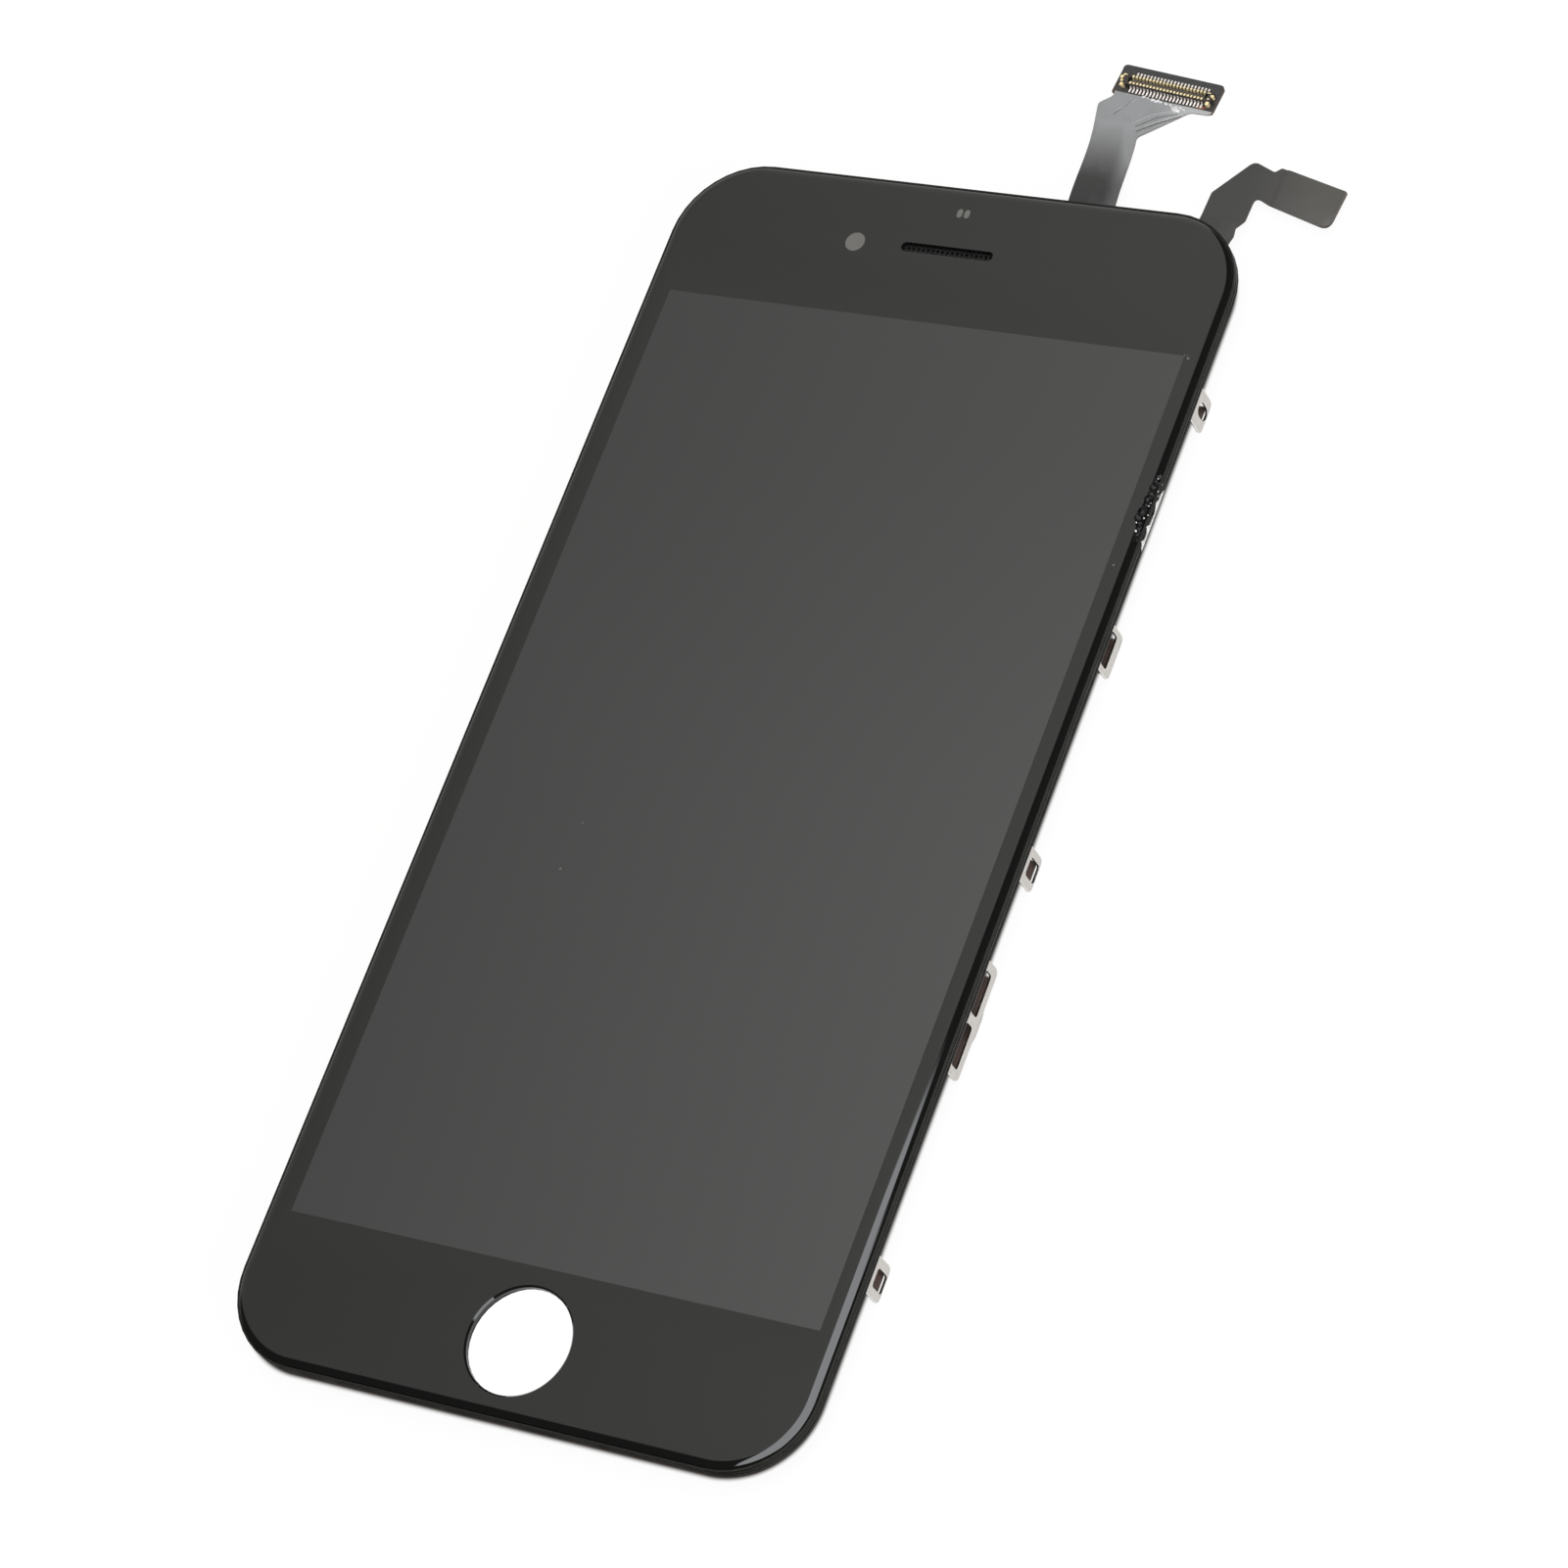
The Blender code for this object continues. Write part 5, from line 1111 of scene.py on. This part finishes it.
def ribbon(bm, path, middle, width, leaf, side):
    rows = []
    for index, point in enumerate(path):
        before, after = Vector(path[max(index - 1, 0)]), Vector(path[min(index + 1, len(path) - 1)])
        along = (after - before).normalized()
        inner = Vector(point) * mm
        outer = inner + Vector((-along.y, along.x)) * leaf
        left, right = middle - width / 2, middle + width / 2
        corners = ((left, inner), (right, inner), (right, outer), (left, outer))
        rows.append([bm.verts.new((x, side * edge.x, edge.y)) for x, edge in corners])
    for lower, upper in zip(rows, rows[1:]):
        bridge(bm, lower, upper)
    bm.faces.new(rows[0])
    bm.faces.new(rows[-1])


def socketBody(values):
    bm = bmesh.new()
    outline = roundBox(*values["half"], values["rounding"])
    trough = roundBox(*values["troughHalf"], values["troughRounding"])
    low, high = addLoop(bm, outline, 0.0), addLoop(bm, outline, values["height"])
    brim, floor = addLoop(bm, trough, values["height"]), addLoop(bm, trough, values["troughFloor"])
    for lower, upper in ((low, high), (high, brim), (brim, floor)):
        bridge(bm, lower, upper)
    fillFlat(bm, [low])
    fillFlat(bm, [floor])
    bmesh.ops.recalc_face_normals(bm, faces=bm.faces)
    softenRims(bm, values["softening"])
    (footHalf, bottom), (crownHalf, top) = values["islandFoot"], values["islandCrown"]
    foot, crown = [roundBox(*half, values["islandRounding"]) for half in (footHalf, crownHalf)]
    addPrism(bm, foot, crown, bottom, top, 1)
    body = pieceFrom("socketBody", bm, [connectorBlack, connectorBrown], socketPlace)
    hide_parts("display_connector")


def socketLeaves(name, path, width, material, values):
    bm = bmesh.new()
    for index in range(values["pins"]):
        middle = (index - (values["pins"] - 1) / 2) * values["pitch"]
        for side in (-1, 1):
            ribbon(bm, path, middle, width, values["leaf"], side)
    return pieceFrom(name, bm, [material], socketPlace, 50.0)


socketBody(boardSocket)
socketLeaves("socketContacts", boardSocket["contact"], boardSocket["contactWidth"], goldPlate, boardSocket)
socketLeaves("socketTails", boardSocket["tail"], boardSocket["tailWidth"], tinSolder, boardSocket)


# the bright lugs that hold the socket's ends, as pads: across, along, half sizes
endLugs = {
    "left": ((-5.14, 0.44, 0.26, 0.11), (-5.48, 0.14, 0.16, 0.19),
             (-5.30, -0.26, 0.18, 0.12), (-5.15, -0.70, 0.19, 0.18)),
    "right": ((4.72, 0.40, 0.26, 0.11), (5.12, 0.13, 0.17, 0.17),
              (4.90, -0.27, 0.18, 0.12), (4.96, -0.76, 0.18, 0.20)),
    "height": 0.66 * mm,
    "rounding": 0.06 * mm,
    "softening": 0.06 * mm,
}


def solderLugs(side, values):
    bm = bmesh.new()
    for x, y, halfX, halfY in values[side]:
        outline = movedPoints(roundBox(halfX * mm, halfY * mm, values["rounding"], 3), x, y)
        low, high = addLoop(bm, outline, 0.0), addLoop(bm, outline, values["height"])
        bridge(bm, low, high)
        bm.faces.new(low)
        bm.faces.new(high)
    bmesh.ops.recalc_face_normals(bm, faces=bm.faces)
    softenRims(bm, values["softening"])
    bmesh.ops.triangulate(bm, faces=[f for f in bm.faces if len(f.verts) > 4])
    mesh = meshFrom(f"{side}SolderLugs", bm)
    mesh.transform(socketPlace)
    lugs = linked(f"{side}SolderLugs", mesh, [goldPlate])
    shadeSmooth(mesh)
    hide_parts(f"hold_down_{side}")


for side in ("left", "right"):
    solderLugs(side, endLugs)


solderArea = {
    # across, along, size, how long for its size, turn
    "blobs": (
        (-2.45, -1.28, 0.15, 1.5, 0.3),
        (-1.93, -1.30, 0.12, 1.3, -0.2),
        (-1.33, -1.40, 0.22, 1.2, 0.1),
        (-0.84, -1.42, 0.20, 1.6, 0.5),
        (-0.38, -1.45, 0.15, 1.4, 0.1),
        (0.28, -1.50, 0.17, 1.6, -0.3),
        (0.84, -1.53, 0.15, 1.5, -0.4),
        (1.60, -1.92, 0.40, 1.5, -0.2),
        (1.45, -1.62, 0.20, 1.3, 0.3),
        (2.05, -1.60, 0.15, 1.8, -0.4),
        (2.55, -1.72, 0.10, 1.8, -0.2),
    ),
    # across, along, half sizes
    "lands": ((4.40, -0.98, 0.45, 0.05), (4.1, -1.14, 0.50, 0.05)),
    "landHeight": 0.035 * mm,
    "filmTop": -0.02 * mm,
}


def fluxBlobs(values):
    bm = bmesh.new()
    for x, y, radius, stretch, spin in values["blobs"]:
        made = bmesh.ops.create_icosphere(bm, subdivisions=3, radius=1.0)["verts"]
        cosine, sine = math.cos(spin), math.sin(spin)
        for vert in made:
            lumpy = 1.0 + 0.14 * math.sin(5 * vert.co.x + 3 * spin) * math.cos(4 * vert.co.y)
            across, along = vert.co.x * radius * stretch * lumpy, vert.co.y * radius * 0.8 * lumpy
            vert.co = Vector((
                (x + across * cosine - along * sine) * mm,
                (y + across * sine + along * cosine) * mm,
                values["filmTop"] + vert.co.z * radius * 0.45 * mm,
            ))
    mesh = meshFrom("fluxResidue", bm)
    mesh.transform(socketPlace)
    linked("fluxResidue", mesh, [fluxResidue])
    shadeSmooth(mesh, 60.0)


def copperPads(values):
    bm = bmesh.new()
    low = values["filmTop"]
    for x, y, halfX, halfY in values["lands"]:
        outline = movedPoints(roundBox(halfX * mm, halfY * mm, 0.06 * mm), x, y)
        addPrism(bm, outline, outline, low, low + values["landHeight"])
    pieceFrom("copperLands", bm, [copperLand], socketPlace)


fluxBlobs(solderArea)
copperPads(solderArea)
say("socket fitted")


# both lamps light the matt surfaces only, what the glass and the steel mirror is painted in the world
lampSet = {
    "top": {"place": (0.25, 0.0, 0.85), "aim": (0.10, 0.0, 0.0), "size": (0.90, 0.60), "power": 4.6},
    "right": {"place": (0.75, -0.25, 0.30), "aim": (0.0, 0.0, 0.0), "size": (0.50, 0.50), "power": 4.0},
}


def addLamp(name, values):
    data = bpy.data.lights.new(name, "AREA")
    data.shape = "RECTANGLE"
    data.size, data.size_y = values["size"]
    data.energy = values["power"]
    data.color = (1.0, 0.995, 0.985)
    lamp = bpy.data.objects.new(name, data)
    lamp.location = values["place"]
    lamp.rotation_euler = (Vector(values["aim"]) - Vector(values["place"])).to_track_quat("-Z", "Y").to_euler()
    lamp.visible_glossy = False
    scene.collection.objects.link(lamp)


worldSet = {
    "ambient": (0.25, 0.245, 0.235),
    "mirrorDark": (0.10, 0.10, 0.10),
    "wallAcross": (-0.18, -0.10),
    "wallAlong": (0.02, 0.12),
    "wallLeft": (0.76, 0.76, 0.74),
    "wallRight": (1.16, 1.16, 1.12),
    "wallBlend": (-0.56, -0.42),
    "panel": (5.0, 5.15, 5.3),
    "panelAcross": (-0.33, 1.0, 0.04),    # from, to and how soft
    "panelAlong": (-0.75, 0.322, 0.022),
    "panelSlant": 0.2,
    "panelRise": (0.3, 0.45),
    "leastHeight": 0.85,
}


def addWorld(values):
    world = bpy.data.worlds.new("paleStudio")
    world.use_nodes = True
    scene.world = world
    tree = world.node_tree
    x, y, z = axes(tree, addNode(tree, "TexCoord").outputs["Generated"])
    # the flat glass mirrors a white wall at the back left
    wall = times(tree, ramp(tree, x, *values["wallAcross"], 1.0, 0.0), ramp(tree, y, *values["wallAlong"]))
    blend = ramp(tree, x, *values["wallBlend"], smooth=False)
    wallTone = mixColour(tree, blend, values["wallLeft"], values["wallRight"])
    mirrored = mixColour(tree, wall, values["mirrorDark"], wallTone)
    # the rounded right edge mirrors a light panel overhead, its back end above the middle of the edge
    height = larger(tree, z, values["leastHeight"])
    slanted = plus(tree, x, times(tree, y, values["panelSlant"]))
    across = between(tree, over(tree, slanted, height), *values["panelAcross"])
    along = between(tree, over(tree, y, height), *values["panelAlong"])
    overhead = times(tree, times(tree, across, along), ramp(tree, z, *values["panelRise"]))
    mirrored = mixColour(tree, overhead, mirrored, values["panel"])
    rays = addNode(tree, "LightPath").outputs
    straight = plus(tree, rays["Is Camera Ray"], rays["Is Transmission Ray"], clamp=True)
    lit = mixColour(tree, rays["Is Glossy Ray"], values["ambient"], mirrored)
    feed(tree, tree.nodes["Background"].inputs["Color"], mixColour(tree, straight, lit, (1.0, 1.0, 1.0)))


floorSet = {
    "height": -4.801 * mm,
    "half": 3.0,
    "glow": 0.90,
    "glowStrength": 1.03,
    "frontTone": (0.12, 0.11, 0.10),
    "seenFrom": (-1.8 * mm, 0.80 * mm),      # how far the shade under the panel lies to its side
    "fade": (-0.05 * mm, 0.55 * mm),
    "pale": ((0.955, 0.955, 0.955), (0.965, 0.965, 0.965)),
    "shade": (0.090, 0.072, 0.063),
    "windowShade": (0.240, 0.175, 0.155),
    "homeGlow": (-2.9 * mm, -57.8 * mm),
    "homeGlowRadius": (6.2 * mm, 7.4 * mm),
    "darkFront": (-69.0 * mm, -66.5 * mm),
    # the shade seen through the clips' windows: from and to, along the right edge
    "windows": ((47.0, 49.1), (18.9, 23.0), (-3.7, -1.1), (-23.9, -13.5), (-46.3, -43.8)),
    "windowAcross": (30.0, 31.2),
    "windowSoft": (0.15, 0.2),
}


def farFromPanel(tree, point, values):
    moved = vectorNode(tree, "SUBTRACT", point, (*values["seenFrom"], 0.0))
    size = addNode(tree, "VectorMath", {0: moved}, operation="ABSOLUTE").outputs[0]
    inner = (panel["halfWidth"] - panel["radius"], panel["halfLength"] - panel["radius"], 1.0)
    outside = vectorNode(tree, "MAXIMUM", vectorNode(tree, "SUBTRACT", size, inner), (0.0, 0.0, 0.0))
    gap = addNode(tree, "VectorMath", {0: outside}, operation="LENGTH").outputs["Value"]
    low, high = values["fade"]
    return ramp(tree, gap, panel["radius"] + low, panel["radius"] + high)


def windowShade(tree, x, y, values):
    low, high = values["windowAcross"]
    softAcross, softAlong = values["windowSoft"]
    total = 0.0
    for start, end in values["windows"]:
        total = larger(tree, between(tree, y, start * mm, end * mm, softAlong * mm), total)
    return times(tree, total, between(tree, x, low * mm, high * mm, softAcross * mm))


def mixShader(tree, share, first, second):
    return addNode(tree, "MixShader", {0: share, 1: first.outputs[0], 2: second.outputs[0]})


def addFloor(values):
    bm = bmesh.new()
    bm.faces.new(addLoop(bm, boxPoints(values["half"], values["half"]), values["height"]))
    mesh = meshFrom("paleFloor", bm)
    floor = bpy.data.objects.new("paleFloor", mesh)
    scene.collection.objects.link(floor)
    material, tree, shader = newFinish("paleFloor", rough=0.9, level=0.0)
    place = objectPlace(tree)
    x, y, _ = axes(tree, place)
    behind = windowShade(tree, x, y, values)
    clear = times(tree, farFromPanel(tree, place, values), minus(tree, 1.0, behind))
    clouds = useGroup(tree, smears, {"Scale": 3.0, "Low": 0.0, "High": 1.0})
    shade = mixColour(tree, behind, values["shade"], values["windowShade"])
    tone = mixColour(tree, clear, shade, mixColour(tree, clouds["Value"], *values["pale"]))
    feed(tree, shader.inputs["Base Color"], tone)
    # white for the camera and in mirrors, darker where the near end of the glass edge mirrors it
    hole = vectorNode(tree, "DISTANCE", place, (*values["homeGlow"], values["height"]), "Value")
    inside = ramp(tree, hole, *values["homeGlowRadius"], 1.0, 0.0)
    share = larger(tree, times(tree, clear, values["glow"]), inside)
    rays = addNode(tree, "LightPath").outputs
    seen = plus(tree, rays["Is Camera Ray"], rays["Is Glossy Ray"], clamp=True)
    seen = plus(tree, seen, rays["Is Transmission Ray"], clamp=True)
    glow = addNode(tree, "Emission", {"Strength": values["glowStrength"]})
    card = addNode(tree, "Emission", {"Color": values["frontTone"]})
    front = times(tree, ramp(tree, y, *values["darkFront"], 1.0, 0.0), rays["Is Glossy Ray"])
    lit = mixShader(tree, times(tree, seen, share), shader, glow)
    final = mixShader(tree, front, lit, card)
    feed(tree, tree.nodes["Material Output"].inputs["Surface"], final.outputs[0])
    mesh.materials.append(material)


# where the photograph was taken from, in the frame of the glass
photoCamera = {
    "place": (0.27100, -0.18617, 0.44632),
    "right": (0.86297, 0.34214, -0.37178),
    "up": (-0.1512, 0.87699, 0.45611),
    "back": (0.4821, -0.3374, 0.80855),
    "lens": 131.94,
    "sensor": 36.0,
}


def addCamera(values):
    data = bpy.data.cameras.new("photoCamera")
    data.lens = values["lens"]
    data.sensor_width = values["sensor"]
    data.clip_start = 0.01
    data.clip_end = 20.0
    eye = bpy.data.objects.new("photoCamera", data)
    columns = Matrix((values["right"], values["up"], values["back"])).transposed().to_4x4()
    eye.matrix_world = Matrix.Translation(values["place"]) @ columns
    scene.collection.objects.link(eye)
    scene.camera = eye


for name, values in lampSet.items():
    addLamp(name, values)
addWorld(worldSet)
addFloor(floorSet)
addCamera(photoCamera)
scene.view_settings.view_transform = "Standard"
say("light, floor and camera set")
